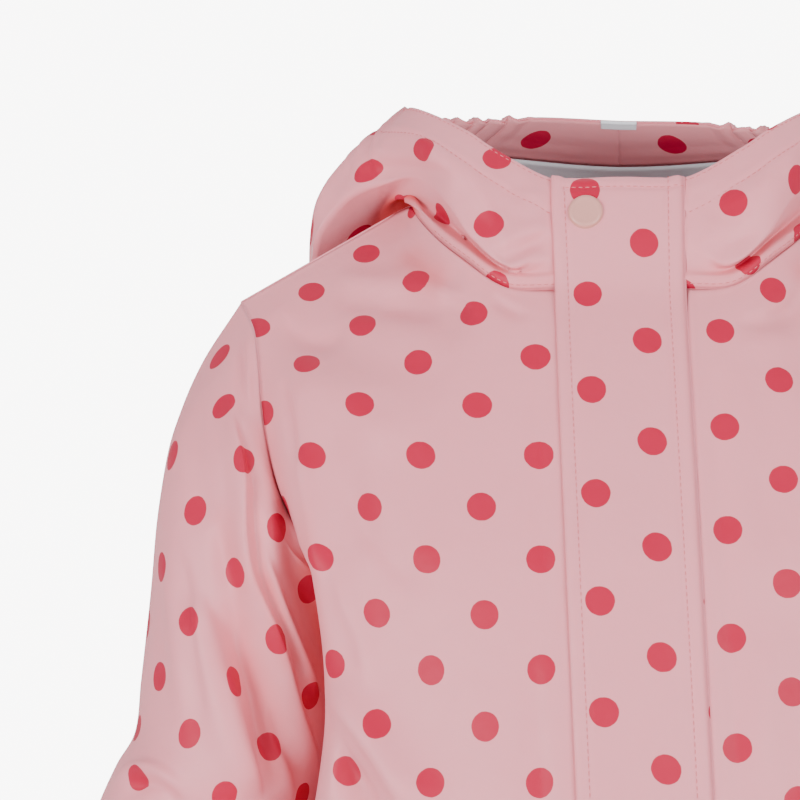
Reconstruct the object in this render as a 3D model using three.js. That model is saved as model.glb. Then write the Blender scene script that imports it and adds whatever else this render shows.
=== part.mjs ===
// A toddler's hooded raincoat, filled out as if worn, with nobody in it.
// Millimetres. +Z is up, the fronts face -Y, and +X is the wearer's left side.
// The origin is the middle of the neck at the height of the shoulder seams' inner ends.
import * as THREE from "three";

// Cloth and seams.
const clothThickness = 1.5;
const flapThickness = 2.0;
const flapLift = 0.5; // how far it stands off the cloth under it
const facingThickness = 0.9;
const liningThickness = 1.0;
const seamGap = 0.3;
const armholeGap = 1.2;
const hoodSeamGap = 0.3;

// Storm flap down the centre front.
const flapEdge = -26.8; // its free edge, on the wearer's right of the centre
const flapSeam = 27.8; // its sewn edge, where the wearer's left front starts
const flapTopFlare = 1.8; // how much wider each side is at the top of the collar
const underlap = 18; // how far the wearer's right front runs past the centre, under the flap
const flapLeanStart = -46; // the centre line leans to the wearer's left below this height
const flapLean = 0.043;

// Snap cap at the flap's top corner.
const snapRadius = 7.3;
const snapHeight = 2.2;
const snapCentre = { x: -14.5, z: -12 };

// Hood edge.
const facingDepth = 19;
const liningLengths = [20.2, 38, 57, 76]; // down from the face edge
const liningColumns = 8; // each side of the centre back
const edgeRoll = 1.4; // the outer cloth stands this much past its facing
const gatherHeight = 2.4;
const gatherLength = 11.5;

// Small woven tab on the hood edge at the centre back.
const tabWidth = 15;
const tabThickness = 0.6;

// How finely each piece is divided.
const flapColumns = [-26.8, -19, -11.5, -4, 3.5, 11, 18, 21.4, 27.5];
const neckColumns = 7;
const shoulderColumns = 4;
const sideColumns = 5;
const shoulderCorner = 0.62; // the place on the shoulder seam above the body's front and back corners
const backNeckColumns = 9;
const armholeRows = 10;
const skirtRows = 11;

// Half of the neck seam and hood, as stations from the centre front (0) round to the centre back.
// along: mm round the neck seam. Each station's profile runs from the seam up under the fold (tuck),
// out to the fold, over the outer layer and up to the face edge.
const hoodStations = [
  { along: 0, seam: [0, -60, -45.5], tuck: [0, -59.6, -37], fold: [0, -58.5, -23], outer: [0, -55, -9], edge: [0, -49.5, 2.2] },
  { along: 28, seam: [28, -59.5, -45.5], tuck: [28, -59, -37], fold: [28, -58, -24], outer: [28, -54.5, -9], edge: [28.5, -48.5, 3.4] },
  { along: 48, seam: [48, -57, -44.5], tuck: [48, -54, -36], fold: [46, -62, -35], outer: [50, -56, -10], edge: [52.5, -43, 16.8] },
  { along: 71, seam: [65, -49, -32], tuck: [68, -39, -19], fold: [61.5, -57, -24], outer: [65, -52, 2], edge: [65, -36.5, 26] },
  { along: 90, seam: [77, -39, -22], tuck: [82, -22, -6], fold: [73.5, -46, -6], outer: [78.5, -42, 15], edge: [79, -24.5, 34.6] },
  { along: 115, seam: [88, -20, -9], tuck: [97, -2, 2.5], fold: [87.5, -27, 7.5], outer: [93, -24, 26], edge: [90, -11, 40.5] },
  { along: 141, seam: [92, 4, 0], tuck: [107, 21, -2], fold: [104, -11, 7], outer: [106.5, -6, 27], edge: [94, 6, 42.5] },
  { along: 159, seam: [90, 22, -2], tuck: [111, 42, -16], fold: [123, 3, 1], outer: [121.5, 8, 21.5], edge: [91, 21, 42] },
  { along: 175, seam: [82, 36, -5], tuck: [106, 60, -34], fold: [138, 21, -19.5], outer: [135.5, 20, 4], edge: [81, 35, 40.5] },
  { along: 195, seam: [66, 47, -7], tuck: [90, 76, -60], fold: [133, 60, -66], outer: [134.5, 55, -16], edge: [64, 47, 41.5] },
  { along: 222, seam: [40, 54, -8], tuck: [54, 86, -84], fold: [92, 104, -128], outer: [103, 104, -34], edge: [38, 57.5, 45] },
  { along: 262, seam: [0, 57, -8], tuck: [0, 91, -92], fold: [0, 118, -150], outer: [0, 134, -56], edge: [0, 62, 45.2] },
];
const neckPoint = 141; // where the shoulder seam meets the neck seam
const centreBack = 262;
const standFront = 5; // how far the hood stands straight up from the neck seam before it turns
const standBack = 11;
const crownSwell = { front: 1.5, back: 17 };

// The armhole's front and back edges, from the shoulder point down to the underarm.
const armhole = [
  { down: 0, front: [168.5, 6, -43], back: [168.5, 6, -43] },
  { down: 25, front: [160.5, -14, -57], back: [163, 24, -57] },
  { down: 41, front: [157.5, -24, -70], back: [159, 35, -71] },
  { down: 77, front: [153, -40, -101], back: [152, 47, -101] },
  { down: 108, front: [145.5, -48, -130], back: [143, 51, -130] },
  { down: 133, front: [134, -43, -151], back: [132, 43, -151] },
  { down: 157, front: [123, -23, -158], back: [121, 23, -158] },
  { down: 181, front: [113, 0, -160], back: [113, 0, -160] },
];
const armholeLength = 181;
const hemDown = 492;

// Body sections below the neck and shoulder seams. centre: at the middle line. corner: where the cloth
// turns to the side. flank: the pull of the side between the corner and the side seam.
const frontSections = [
  { down: 41, centre: [-74, -69], corner: [137, -37, -69], flank: [150, -30], side: null },
  { down: 77, centre: [-87, -101], corner: [137, -57, -101], flank: [147, -49], side: null },
  { down: 108, centre: [-96, -130], corner: [134, -69, -130], flank: [142, -62], side: null },
  { down: 133, centre: [-102, -150], corner: [130, -76, -150], flank: [134, -62], side: null },
  { down: 157, centre: [-104.5, -159], corner: [127.5, -79, -159], flank: [128, -52], side: null },
  { down: 181, centre: [-106.5, -168], corner: [125.5, -81, -168], flank: [117, -42], side: null },
  { down: 222, centre: [-113, -203], corner: [120, -85, -203], flank: [112, -42], side: [112, -201] },
  { down: 267, centre: [-119, -246], corner: [121, -86, -246], flank: [132, -60], side: [115, -245] },
  { down: 322, centre: [-124, -300], corner: [130, -84, -300], flank: [142, -58], side: [129, -300] },
  { down: 402, centre: [-129, -385], corner: [138, -80, -385], flank: [154, -50], side: [149, -385] },
  { down: 492, centre: [-133, -470], corner: [147, -79, -470], flank: [170, -46], side: [168, -470] },
];
const backSections = [
  { down: 41, centre: [71, -69], corner: [130, 47, -69], flank: [148, 43], side: null },
  { down: 77, centre: [77, -101], corner: [128, 58, -101], flank: [144, 54], side: null },
  { down: 108, centre: [81, -130], corner: [125, 63, -130], flank: [140, 58], side: null },
  { down: 133, centre: [83, -150], corner: [122, 65, -150], flank: [132, 56], side: null },
  { down: 157, centre: [84, -159], corner: [120, 66, -159], flank: [126, 48], side: null },
  { down: 181, centre: [85, -168], corner: [117, 67, -168], flank: [116, 36], side: null },
  { down: 222, centre: [88, -203], corner: [112, 69, -203], flank: [112, 36], side: [112, -201] },
  { down: 267, centre: [92, -246], corner: [113, 71, -246], flank: [115, 38], side: [115, -245] },
  { down: 322, centre: [98, -300], corner: [121, 70, -300], flank: [130, 38], side: [129, -300] },
  { down: 402, centre: [107, -385], corner: [130, 68, -385], flank: [150, 40], side: [149, -385] },
  { down: 492, centre: [115, -470], corner: [139, 68, -470], flank: [169, 40], side: [168, -470] },
];
const chestRoundness = 2.2;

// Sleeve sections. outer and inner: the two sides as seen from the front. depth: how far the section
// reaches to the front and back.
const sleeveSections = [
  { along: 0, outer: [168.5, -43], inner: [113, -160], depth: [-46, 50] },
  { along: 30, outer: [186, -71], inner: [116, -168], depth: [-53, 52] },
  { along: 62, outer: [197, -100.5], inner: [117, -179], depth: [-56, 51] },
  { along: 98, outer: [203.5, -136], inner: [118, -193], depth: [-57, 49] },
  { along: 137, outer: [207, -174], inner: [120, -210], depth: [-57, 47] },
  { along: 176, outer: [211, -212], inner: [123, -229], depth: [-57, 46] },
  { along: 198, outer: [213.5, -234], inner: [126, -243], depth: [-57, 45] },
  { along: 216, outer: [221.5, -248], inner: [129, -257], depth: [-57, 44] },
  { along: 240, outer: [230.5, -268], inner: [134, -278], depth: [-55, 42] },
  { along: 285, outer: [245.5, -310], inner: [151, -327], depth: [-50, 37] },
  { along: 330, outer: [260, -352], inner: [175, -375], depth: [-44, 31] },
  { along: 356, outer: [268, -375], inner: [188, -400], depth: [-41, 27] },
];
const sleeveStops = [0, 15, 30, 46, 62, 80, 98, 117, 137, 157, 176, 192, 206, 220, 240, 262, 285, 308, 330, 356];

// Largest folds, as lines in the front view: from one end to the other, in mm. wide: half the fold's
// width. high: how far it stands out, or in where it is negative. face: -1 on the coat's front, 1 on its
// back. A twin fold is also on the wearer's left.
const bodyFolds = [
  { name: "under the hood", from: [-156, -52], to: [-66, -88], wide: 11, high: -3.5, face: -1, twin: true },
  { name: "beside the neck", from: [-104, -40], to: [-60, -66], wide: 9, high: -2.5, face: -1, twin: true },
  { name: "shoulder to chest", from: [-150, -74], to: [-84, -116], wide: 10, high: 2.5, face: -1, twin: true },
  { name: "chest to side", from: [-128, -86], to: [-112, -180], wide: 12, high: -2.5, face: -1, twin: true },
  { name: "waist pull", from: [-122, -206], to: [-70, -275], wide: 10, high: 4.5, face: -1, twin: true },
  { name: "below the pull", from: [-118, -236], to: [-86, -300], wide: 9, high: -4, face: -1, twin: true },
  { name: "skirt front", from: [-98, -310], to: [-116, -475], wide: 15, high: 5, face: -1, twin: true },
  { name: "skirt middle", from: [-66, -350], to: [-72, -475], wide: 12, high: -4, face: -1, twin: true },
  { name: "back shoulder", from: [-140, -60], to: [-60, -150], wide: 14, high: -4, face: 1, twin: true },
  { name: "back waist", from: [-98, -230], to: [-30, -300], wide: 13, high: 3.5, face: 1, twin: true },
  { name: "back skirt", from: [-84, -300], to: [-100, -475], wide: 18, high: 6, face: 1, twin: true },
  { name: "back middle", from: [-30, -330], to: [-34, -475], wide: 15, high: -4.5, face: 1, twin: true },
];
const sleeveFolds = [
  { name: "long crease", from: [-170, -70], to: [-128, -232], wide: 7, high: 4.5, face: -1 },
  { name: "hollow inside it", from: [-148, -140], to: [-116, -226], wide: 7, high: -5, face: -1 },
  { name: "middle ridge", from: [-186, -168], to: [-158, -268], wide: 8, high: 3.5, face: -1 },
  { name: "middle hollow", from: [-172, -172], to: [-142, -250], wide: 9, high: -5, face: -1 },
  { name: "outer crease", from: [-196, -118], to: [-178, -236], wide: 8, high: 2.5, face: -1 },
  { name: "elbow", from: [-222, -252], to: [-150, -284], wide: 7, high: -4.5, face: -1 },
  { name: "forearm ridge", from: [-232, -282], to: [-176, -318], wide: 9, high: 3.5, face: -1 },
  { name: "forearm hollow", from: [-240, -312], to: [-180, -350], wide: 8, high: -3.5, face: -1 },
  { name: "back elbow", from: [-220, -245], to: [-132, -262], wide: 10, high: -4.5, face: 1 },
  { name: "back upper", from: [-178, -90], to: [-134, -200], wide: 11, high: 4, face: 1 },
  { name: "back lower", from: [-228, -290], to: [-178, -352], wide: 10, high: 3.5, face: 1 },
];
const foldTaper = 0.3;

// Vectors as arrays of three.
const add = (a, b, s = 1) => a.map((v, i) => v + s * b[i]);
const mix = (a, b, t) => a.map((v, i) => v + (b[i] - v) * t);
const length = (a) => Math.hypot(...a);
const unit = (a) => a.map((v) => v / (length(a) || 1));
const cross = (a, b) => [a[1] * b[2] - a[2] * b[1], a[2] * b[0] - a[0] * b[2], a[0] * b[1] - a[1] * b[0]];
const flip = (p) => [-p[0], p[1], p[2]];
const clamp01 = (t) => Math.min(1, Math.max(0, t));
const ease = (t) => clamp01(t) ** 2 * (3 - 2 * clamp01(t));

// A smooth curve through values at rising keys. Each value is an array of numbers.
function through(keys, values, t) {
  const last = keys.length - 1;
  let i = 0;
  while (i < last - 1 && t > keys[i + 1]) i += 1;
  const slope = (k) => {
    const a = Math.max(0, k - 1);
    const b = Math.min(last, k + 1);
    return values[a].map((v, n) => (values[b][n] - v) / (keys[b] - keys[a]));
  };
  const h = keys[i + 1] - keys[i];
  const s = (t - keys[i]) / h;
  const [m0, m1] = [slope(i), slope(i + 1)];
  const [s2, s3] = [s * s, s * s * s];
  return values[i].map(
    (v, n) =>
      (2 * s3 - 3 * s2 + 1) * v +
      (s3 - 2 * s2 + s) * h * m0[n] +
      (3 * s2 - 2 * s3) * values[i + 1][n] +
      (s3 - s2) * h * m1[n],
  );
}

// One named column of a table, read between its rows.
function read(table, key, column, t) {
  return through(
    table.map((row) => row[key]),
    table.map((row) => row[column]),
    t,
  );
}

// How a line of folds moves a point that faces the front (face -1) or the back (face 1).
function foldHeight(folds, p, normal) {
  let total = 0;
  for (const fold of folds) {
    const facing = ease(1.25 * normal[1] * fold.face);
    for (const side of fold.twin ? [1, -1] : [1]) {
      const from = [fold.from[0] * side, fold.from[1]];
      const run = [fold.to[0] * side - from[0], fold.to[1] - from[1]];
      const reach = Math.hypot(...run);
      const rel = [p[0] - from[0], p[2] - from[1]];
      const s = (rel[0] * run[0] + rel[1] * run[1]) / reach ** 2;
      const off = (rel[0] * run[1] - rel[1] * run[0]) / reach;
      const fade = ease(s / foldTaper) * ease((1 - s) / foldTaper);
      total += facing * fade * fold.high * Math.exp(-((off / fold.wide) ** 2));
    }
  }
  return total;
}

// Normals of a grid of points: rows run down the piece, and seen from outside its columns run rightwards
// round the wearer's left side. The outward way is the cross product of the two.
function gridNormals(grid) {
  const at = (i, j) => grid[Math.min(grid.length - 1, Math.max(0, i))][Math.min(grid[0].length - 1, Math.max(0, j))];
  return grid.map((row, i) =>
    row.map((_, j) => unit(cross(add(at(i + 1, j), at(i - 1, j), -1), add(at(i, j + 1), at(i, j - 1), -1)))),
  );
}

// Seam edges of neighbours share points, so their normals are made the same and the walls meet on a mitre.
const seamNormals = new Map();
const seamKey = (p) => p.map((v) => Math.round(v * 20)).join(",");
function noteSeams(grid, normals) {
  grid.forEach((row, i) =>
    row.forEach((p, j) => {
      if (i > 0 && i < grid.length - 1 && j > 0 && j < row.length - 1) return;
      const key = seamKey(p);
      seamNormals.set(key, add(seamNormals.get(key) ?? [0, 0, 0], normals[i][j]));
    }),
  );
}
const shared = (grid, normals) =>
  normals.map((row, i) => row.map((n, j) => unit(seamNormals.get(seamKey(grid[i][j])) ?? n)));

// Draws the named edges of a grid back along the cloth by half a seam gap.
function drawBack(grid, edges) {
  const [last, end] = [grid.length - 1, grid[0].length - 1];
  const toward = (a, b, by = seamGap / 2) => add(a, unit(add(b, a, -1)), by);
  const moved = grid.map((row) => row.slice());
  if (edges.top) grid[0].forEach((p, j) => (moved[0][j] = toward(p, grid[1][j])));
  if (edges.bottom) grid[last].forEach((p, j) => (moved[last][j] = toward(p, grid[last - 1][j], hoodSeamGap)));
  if (edges.start) moved.forEach((row) => (row[0] = toward(row[0], row[1])));
  if (edges.finish) moved.forEach((row) => (row[end] = toward(row[end], row[end - 1])));
  return moved;
}

// A closed wall between an outer and an inner grid. round closes the columns into a tube.
function wall(outer, inner, round = false) {
  const [rows, columns] = [outer.length, outer[0].length];
  const positions = [...outer.flat(2), ...inner.flat(2)];
  const at = (i, j, side) => side * rows * columns + i * columns + (j % columns);
  const index = [];
  const quad = (a, b, c, d) => index.push(a, b, c, a, c, d);
  const lastColumn = round ? columns : columns - 1;
  for (let j = 0; j < lastColumn; j += 1) {
    for (let i = 0; i < rows - 1; i += 1) {
      quad(at(i, j, 0), at(i + 1, j, 0), at(i + 1, j + 1, 0), at(i, j + 1, 0));
      quad(at(i, j, 1), at(i, j + 1, 1), at(i + 1, j + 1, 1), at(i + 1, j, 1));
    }
    quad(at(0, j, 0), at(0, j + 1, 0), at(0, j + 1, 1), at(0, j, 1));
    quad(at(rows - 1, j, 1), at(rows - 1, j + 1, 1), at(rows - 1, j + 1, 0), at(rows - 1, j, 0));
  }
  for (let i = 0; !round && i < rows - 1; i += 1) {
    quad(at(i, 0, 1), at(i + 1, 0, 1), at(i + 1, 0, 0), at(i, 0, 0));
    quad(at(i, columns - 1, 0), at(i + 1, columns - 1, 0), at(i + 1, columns - 1, 1), at(i, columns - 1, 1));
  }
  const geometry = new THREE.BufferGeometry();
  geometry.setAttribute("position", new THREE.Float32BufferAttribute(positions, 3));
  geometry.setIndex(index);
  return geometry;
}

// The same grid moved along its normals.
const offset = (grid, normals, by) => grid.map((row, i) => row.map((p, j) => add(p, normals[i][j], by)));
// Mirrors a grid to the other side and reverses its columns, so that its faces still point out.
const mirrored = (grid) => grid.map((row) => row.map(flip).reverse());

const leanAt = (z) => flapLean * Math.max(0, flapLeanStart - z);

// A point of the neck seam or hood on the wearer's left (+X), or mirrored where along is negative.
function hoodProfile(along) {
  const [side, a] = [along < 0 ? flip : (p) => p, Math.abs(along)];
  const [seam, tuck, fold, outer, edge] = ["seam", "tuck", "fold", "outer", "edge"].map((name) =>
    read(hoodStations, "along", name, a),
  );
  const back = ease((a - neckPoint) / (centreBack - neckPoint));
  const stand = add(seam, [0, -1 + 4 * back, standFront + (standBack - standFront) * back]);
  const outward = unit([outer[0] * ease(a / 48), outer[1], 6]);
  const crown = add(mix(outer, edge, 0.55), outward, crownSwell.front + (crownSwell.back - crownSwell.front) * back);
  return [seam, stand, tuck, fold, outer, crown, edge].map(side);
}
const profileSteps = [1, 3, 4, 4, 3, 3];

// Gathers along the elastic stretches of the hood edge, behind the shoulders.
function gather(along, share) {
  const a = Math.abs(along);
  const zone = ease((a - 118) / 16) * ease((214 - a) / 20);
  return gatherHeight * zone * share ** 3 * Math.sin((a / gatherLength) * 2 * Math.PI);
}

// The hood column at a place round the neck, from the face edge down to the neck seam.
function hoodColumn(along) {
  const profile = hoodProfile(along);
  const keys = [0];
  profile.slice(1).forEach((p, k) => keys.push(keys[k] + Math.sqrt(length(add(p, profile[k], -1)))));
  const column = [];
  profileSteps.forEach((steps, k) => {
    for (let n = k ? 1 : 0; n <= steps; n += 1) {
      column.push(through(keys, profile, keys[k] + ((keys[k + 1] - keys[k]) * n) / steps));
    }
  });
  const total = column.length - 1;
  return column
    .map((p, k) => {
      const out = unit([p[0], p[1], 0]);
      return add(p, [out[0], out[1], 0.8], gather(along, k / total));
    })
    .reverse();
}

// Places round the neck seam where columns start, front and back of the shoulder seam.
const evenly = (from, to, count) => Array.from({ length: count }, (_, k) => from + ((to - from) * (k + 1)) / count);
const frontAlongs = {
  left: [flapSeam, ...evenly(flapSeam, neckPoint, neckColumns)],
  right: [-underlap, 4, -flapEdge, ...evenly(-flapEdge, neckPoint, neckColumns)],
};
const backAlongs = evenly(neckPoint, centreBack, backNeckColumns);
const neckSeam = (along) => hoodColumn(along).at(-1);

// The edge of a body half at its armhole and down its side seam.
function sideEdge(table, face, down) {
  if (down <= armholeLength) return read(armhole, "down", face, down);
  const rows = table.filter((row) => row.side);
  const start = armhole.at(-1)[face];
  const keys = [armholeLength, ...rows.map((row) => row.down)];
  const [x, z] = through(keys, [[start[0], start[2]], ...rows.map((row) => row.side)], down);
  return [x, 0, z];
}

// One row of a body half on +X, from its start round to its side edge. lean moves the columns under the
// flap, and the ones that start past it, along the leaning centre line.
function bodyRow(down, { table, face, alongs, fixed, startX, leanSide }) {
  const point = neckSeam(neckPoint);
  const shoulder = armhole[0][face];
  const topCorner = mix(point, shoulder, shoulderCorner);
  const edge = sideEdge(table, face, down);
  const keys = [0, ...table.map((row) => row.down)];
  const corner = through(keys, [topCorner, ...table.map((row) => row.corner)], down);
  const topFlank = mix(topCorner, shoulder, 0.5).slice(0, 2);
  const flank = through(keys, [topFlank, ...table.map((row) => row.flank)], down);
  const tops = alongs.map(neckSeam);
  for (let k = 1; k <= shoulderColumns; k += 1) tops.push(mix(point, topCorner, k / shoulderColumns));
  const row = tops.map((top, j) => {
    const values = table.map((section) => {
      const lean = leanSide * leanAt(section.centre[1]);
      const start = startX + lean;
      const spread = (j - fixed) / (tops.length - 1 - fixed);
      const x = j < fixed ? alongs[j] + lean : start + (section.corner[0] - start) * spread;
      return arcPoint(section, x);
    });
    return down <= 0 ? top : through(keys, [top, ...values], down);
  });
  const middle = [flank[0], flank[1], (corner[2] + edge[2]) / 2];
  for (let k = 1; k <= sideColumns; k += 1) {
    const t = k / sideColumns;
    const curved = mix(mix(corner, middle, t), mix(middle, edge, t), t);
    row.push(mix(mix(corner, edge, t), curved, ease(down / 41)));
  }
  return row;
}

// A section's point between its centre and its corner.
function arcPoint(section, x) {
  const [centreY, centreZ] = section.centre;
  const [cornerX, cornerY, cornerZ] = section.corner;
  const share = Math.abs(x) / cornerX;
  return [
    x,
    centreY + (cornerY - centreY) * share ** chestRoundness,
    centreZ + (cornerZ - centreZ) * share,
  ];
}

const downs = [
  ...Array.from({ length: armholeRows + 1 }, (_, i) => (armholeLength * i) / armholeRows),
  ...Array.from({ length: skirtRows }, (_, i) => armholeLength + ((hemDown - armholeLength) * (i + 1)) / skirtRows),
];

// Moves a grid's points along its normals by the folds that cross it. Seam edges keep their places.
function folded(grid, folds, keepEdges) {
  const normals = gridNormals(grid);
  const [last, end] = [grid.length - 1, grid[0].length - 1];
  return grid.map((row, i) =>
    row.map((p, j) => {
      const kept =
        (keepEdges.top && i === 0) ||
        (keepEdges.start && j === 0) ||
        (keepEdges.finish && j === end) ||
        (keepEdges.bottom && i === last);
      return kept ? p : add(p, normals[i][j], foldHeight(folds, p, normals[i][j]));
    }),
  );
}

// The two fronts. The wearer's right front runs under the flap, and the left one starts at the flap's seam.
const half = (settings) => downs.map((down) => bodyRow(down, settings));
const frontLeftRaw = half({
  table: frontSections,
  face: "front",
  alongs: frontAlongs.left,
  fixed: 0,
  startX: flapSeam,
  leanSide: 1,
});
const frontRightRaw = half({
  table: frontSections,
  face: "front",
  alongs: frontAlongs.right,
  fixed: 2,
  startX: -flapEdge,
  leanSide: -1,
});
const backHalf = half({
  table: backSections,
  face: "back",
  alongs: [neckPoint, ...backAlongs].reverse(),
  fixed: 0,
  startX: 0,
  leanSide: 0,
});
// The back goes from the wearer's left side to the right side, so that its faces point out.
const backRaw = backHalf.map((row) => [...row.slice().reverse(), ...row.slice(1).map(flip)]);

const sewn = { top: true, start: true, finish: true };
const frontLeftGrid = folded(frontLeftRaw, bodyFolds, sewn);
const frontRightGrid = folded(mirrored(frontRightRaw), bodyFolds, sewn);
const backGrid = folded(backRaw, bodyFolds, sewn);

// The sleeve on +X as rings from the armhole to the cuff.
function sleeveRing(along) {
  const steps = 2 * armholeRows;
  const get = (name) => read(sleeveSections, "along", name, along);
  const [outer, inner, depth] = [get("outer"), get("inner"), get("depth")];
  const ring = [];
  for (let k = 0; k < steps; k += 1) {
    const turn = (k / steps) * 2 * Math.PI;
    const share = (1 - Math.cos(turn)) / 2;
    const y = Math.sin(turn) * (turn <= Math.PI ? depth[1] : -depth[0]);
    const oval = [outer[0] + (inner[0] - outer[0]) * share, y, outer[1] + (inner[1] - outer[1]) * share];
    const seam =
      k <= armholeRows
        ? read(armhole, "down", "back", (armholeLength * k) / armholeRows)
        : read(armhole, "down", "front", (armholeLength * (steps - k)) / armholeRows);
    const settle = 1 - ease(along / 75);
    const fromOval = read(sleeveSections, "along", "outer", 0);
    const toOval = read(sleeveSections, "along", "inner", 0);
    const base = [
      fromOval[0] + (toOval[0] - fromOval[0]) * share,
      Math.sin(turn) * (turn <= Math.PI ? sleeveSections[0].depth[1] : -sleeveSections[0].depth[0]),
      fromOval[1] + (toOval[1] - fromOval[1]) * share,
    ];
    ring.push(add(oval, add(seam, base, -1), settle));
  }
  return ring;
}
const sleeveRaw = sleeveStops.map(sleeveRing);

// Folds on a tube: the normals wrap round it.
function tubeNormals(grid) {
  const count = grid[0].length;
  return grid.map((row, i) =>
    row.map((_, j) => {
      const around = add(row[(j + 1) % count], row[(j + count - 1) % count], -1);
      const along = add(grid[Math.min(i + 1, grid.length - 1)][j], grid[Math.max(i - 1, 0)][j], -1);
      return unit(cross(along, around));
    }),
  );
}
function foldedTube(grid, folds) {
  const normals = tubeNormals(grid);
  return grid.map((row, i) =>
    row.map((p, j) => (i === 0 ? p : add(p, normals[i][j], foldHeight(folds, p, normals[i][j])))),
  );
}
// On -X the ring runs from the outer side to the front, so its columns are reversed to face out there.
const sleeveRightGrid = foldedTube(mirrored(sleeveRaw), sleeveFolds);
const sleeveLeftGrid = mirrored(sleeveRightGrid);

// The hood halves, from the flap round to the centre back, with rows from the face edge down.
function hoodHalf(alongs) {
  const columns = [...alongs, ...backAlongs].map(hoodColumn);
  return columns[0].map((_, i) => columns.map((column) => column[i]));
}
const hoodLeftGrid = hoodHalf(frontAlongs.left);
const hoodRightGrid = mirrored(hoodHalf(frontAlongs.right));

// Shared normals along every seam.
const normalsOf = new Map();
const panels = [frontLeftGrid, frontRightGrid, backGrid, hoodLeftGrid, hoodRightGrid];
panels.forEach((grid) => normalsOf.set(grid, gridNormals(grid)));
[sleeveLeftGrid, sleeveRightGrid].forEach((grid) => normalsOf.set(grid, tubeNormals(grid)));
for (const grid of panels) noteSeams(grid, normalsOf.get(grid));
for (const grid of [sleeveLeftGrid, sleeveRightGrid]) {
  noteSeams([grid[0]], [normalsOf.get(grid)[0]]);
}
normalsOf.forEach((normals, grid) => normalsOf.set(grid, shared(grid, normals)));

// The sleeve's sewn edge, moved sideways, because at the underarm the body and the sleeve run down together.
function clearOfBody(grid, side) {
  const moved = [grid[0].map((p) => add(p, [side, 0, 0], armholeGap)), ...grid.slice(1)];
  normalsOf.set(moved, normalsOf.get(grid));
  return moved;
}

function clothWall(grid, edges, round = false) {
  const outer = drawBack(grid, edges);
  return wall(outer, offset(outer, normalsOf.get(grid), -clothThickness), round);
}

// A strip that follows the cloth over the centre front, from the face edge down to the hem.
function flapBase() {
  const atX = (row, x) => {
    const k = row.findIndex((p, n) => n > 0 && p[0] >= x);
    const [a, b] = [row[k - 1], row[k]];
    return mix(a, b, (x - a[0]) / (b[0] - a[0]));
  };
  const spread = Array.from({ length: 25 }, (_, k) => -36 + 3 * k);
  const collar = spread.map(hoodColumn);
  const collarRows = collar[0].map((_, i) => collar.map((column) => column[i]));
  const keys = [0, ...frontSections.map((row) => row.down)];
  const bodyRows = downs.slice(1).map((down) =>
    spread.map((x) => {
      const values = frontSections.map((section) => {
        const at = x + leanAt(section.centre[1]);
        return arcPoint(section, at);
      });
      return through(keys, [neckSeam(x), ...values], down);
    }),
  );
  return [...collarRows, ...bodyRows].map((row) => {
    const z = row[12][2];
    const flare = flapTopFlare * ease((z - flapLeanStart) / 48);
    return flapColumns.map((x) => atX(row, x + leanAt(z) + flare * Math.min(0, x / flapSeam)));
  });
}
const flapGrid = flapBase();
const flapNormals = gridNormals(flapGrid);
function flapWall() {
  const lift = (x) => (x > underlap ? -1.2 : flapLift);
  const inner = flapGrid.map((row, i) => row.map((p, j) => add(p, flapNormals[i][j], lift(flapColumns[j]))));
  return wall(offset(inner, flapNormals, flapThickness), inner);
}

// A strip inside the hood's cloth, between lengths measured down from the face edge.
function innerStrip(grid, columns, lengths, depth) {
  const normals = normalsOf.get(grid);
  const lines = columns.map((j) => grid.slice(0, 14).map((row, i) => add(row[j], normals[i][j], -depth)));
  return lengths.map((wanted) =>
    lines.map((line) => {
      let done = 0;
      for (let k = 1; k < line.length; k += 1) {
        const step = length(add(line[k], line[k - 1], -1));
        if (done + step >= wanted) return mix(line[k - 1], line[k], (wanted - done) / step);
        done += step;
      }
      return line.at(-1);
    }),
  );
}
const counted = (from, count) => Array.from({ length: count }, (_, k) => from + k);

// The facing inside the hood edge.
function facingWall(grid, edges) {
  const lengths = [0, 1, 2].map((k) => edgeRoll + ((facingDepth - edgeRoll) * k) / 2);
  const outer = innerStrip(grid, counted(0, grid[0].length), lengths, clothThickness + 2 * seamGap);
  const trimmed = drawBack(outer, edges);
  return wall(trimmed, offset(trimmed, gridNormals(trimmed), -facingThickness));
}

// The part of the hood's lining that shows over the front of the collar, below the facing.
function liningWall() {
  const depth = clothThickness + 2 * seamGap;
  const end = hoodLeftGrid[0].length - 1;
  const left = innerStrip(hoodLeftGrid, counted(end - liningColumns, liningColumns + 1), liningLengths, depth);
  const right = innerStrip(hoodRightGrid, counted(1, liningColumns), liningLengths, depth);
  const outer = left.map((row, i) => [...row, ...right[i]]);
  return wall(outer, offset(outer, gridNormals(outer), -liningThickness));
}

// The snap's domed cap, on the flap's outer face.
function snapCap() {
  const profile = [
    [0, 0],
    [snapRadius - 0.5, 0],
    [snapRadius, 0.5],
    [snapRadius, snapHeight * 0.5],
    [snapRadius - 0.9, snapHeight * 0.86],
    [snapRadius * 0.55, snapHeight],
    [0, snapHeight],
  ].map(([r, h]) => new THREE.Vector2(r, h));
  return new THREE.LatheGeometry(profile, 28);
}
function snapPlace() {
  let best = null;
  flapGrid.forEach((row, i) =>
    row.slice(0, -3).forEach((p, j) => {
      const off = Math.hypot(p[0] - snapCentre.x, p[2] - snapCentre.z);
      if (!best || off < best.off) best = { off, i, j };
    }),
  );
  const normal = flapNormals[best.i][best.j];
  const onFace = flapGrid[best.i][best.j];
  const y = onFace[1] - (normal[2] * (snapCentre.z - onFace[2]) + normal[0] * (snapCentre.x - onFace[0])) / normal[1];
  return { normal, foot: add([snapCentre.x, y, snapCentre.z], normal, flapThickness + flapLift + 2 * seamGap) };
}

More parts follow.
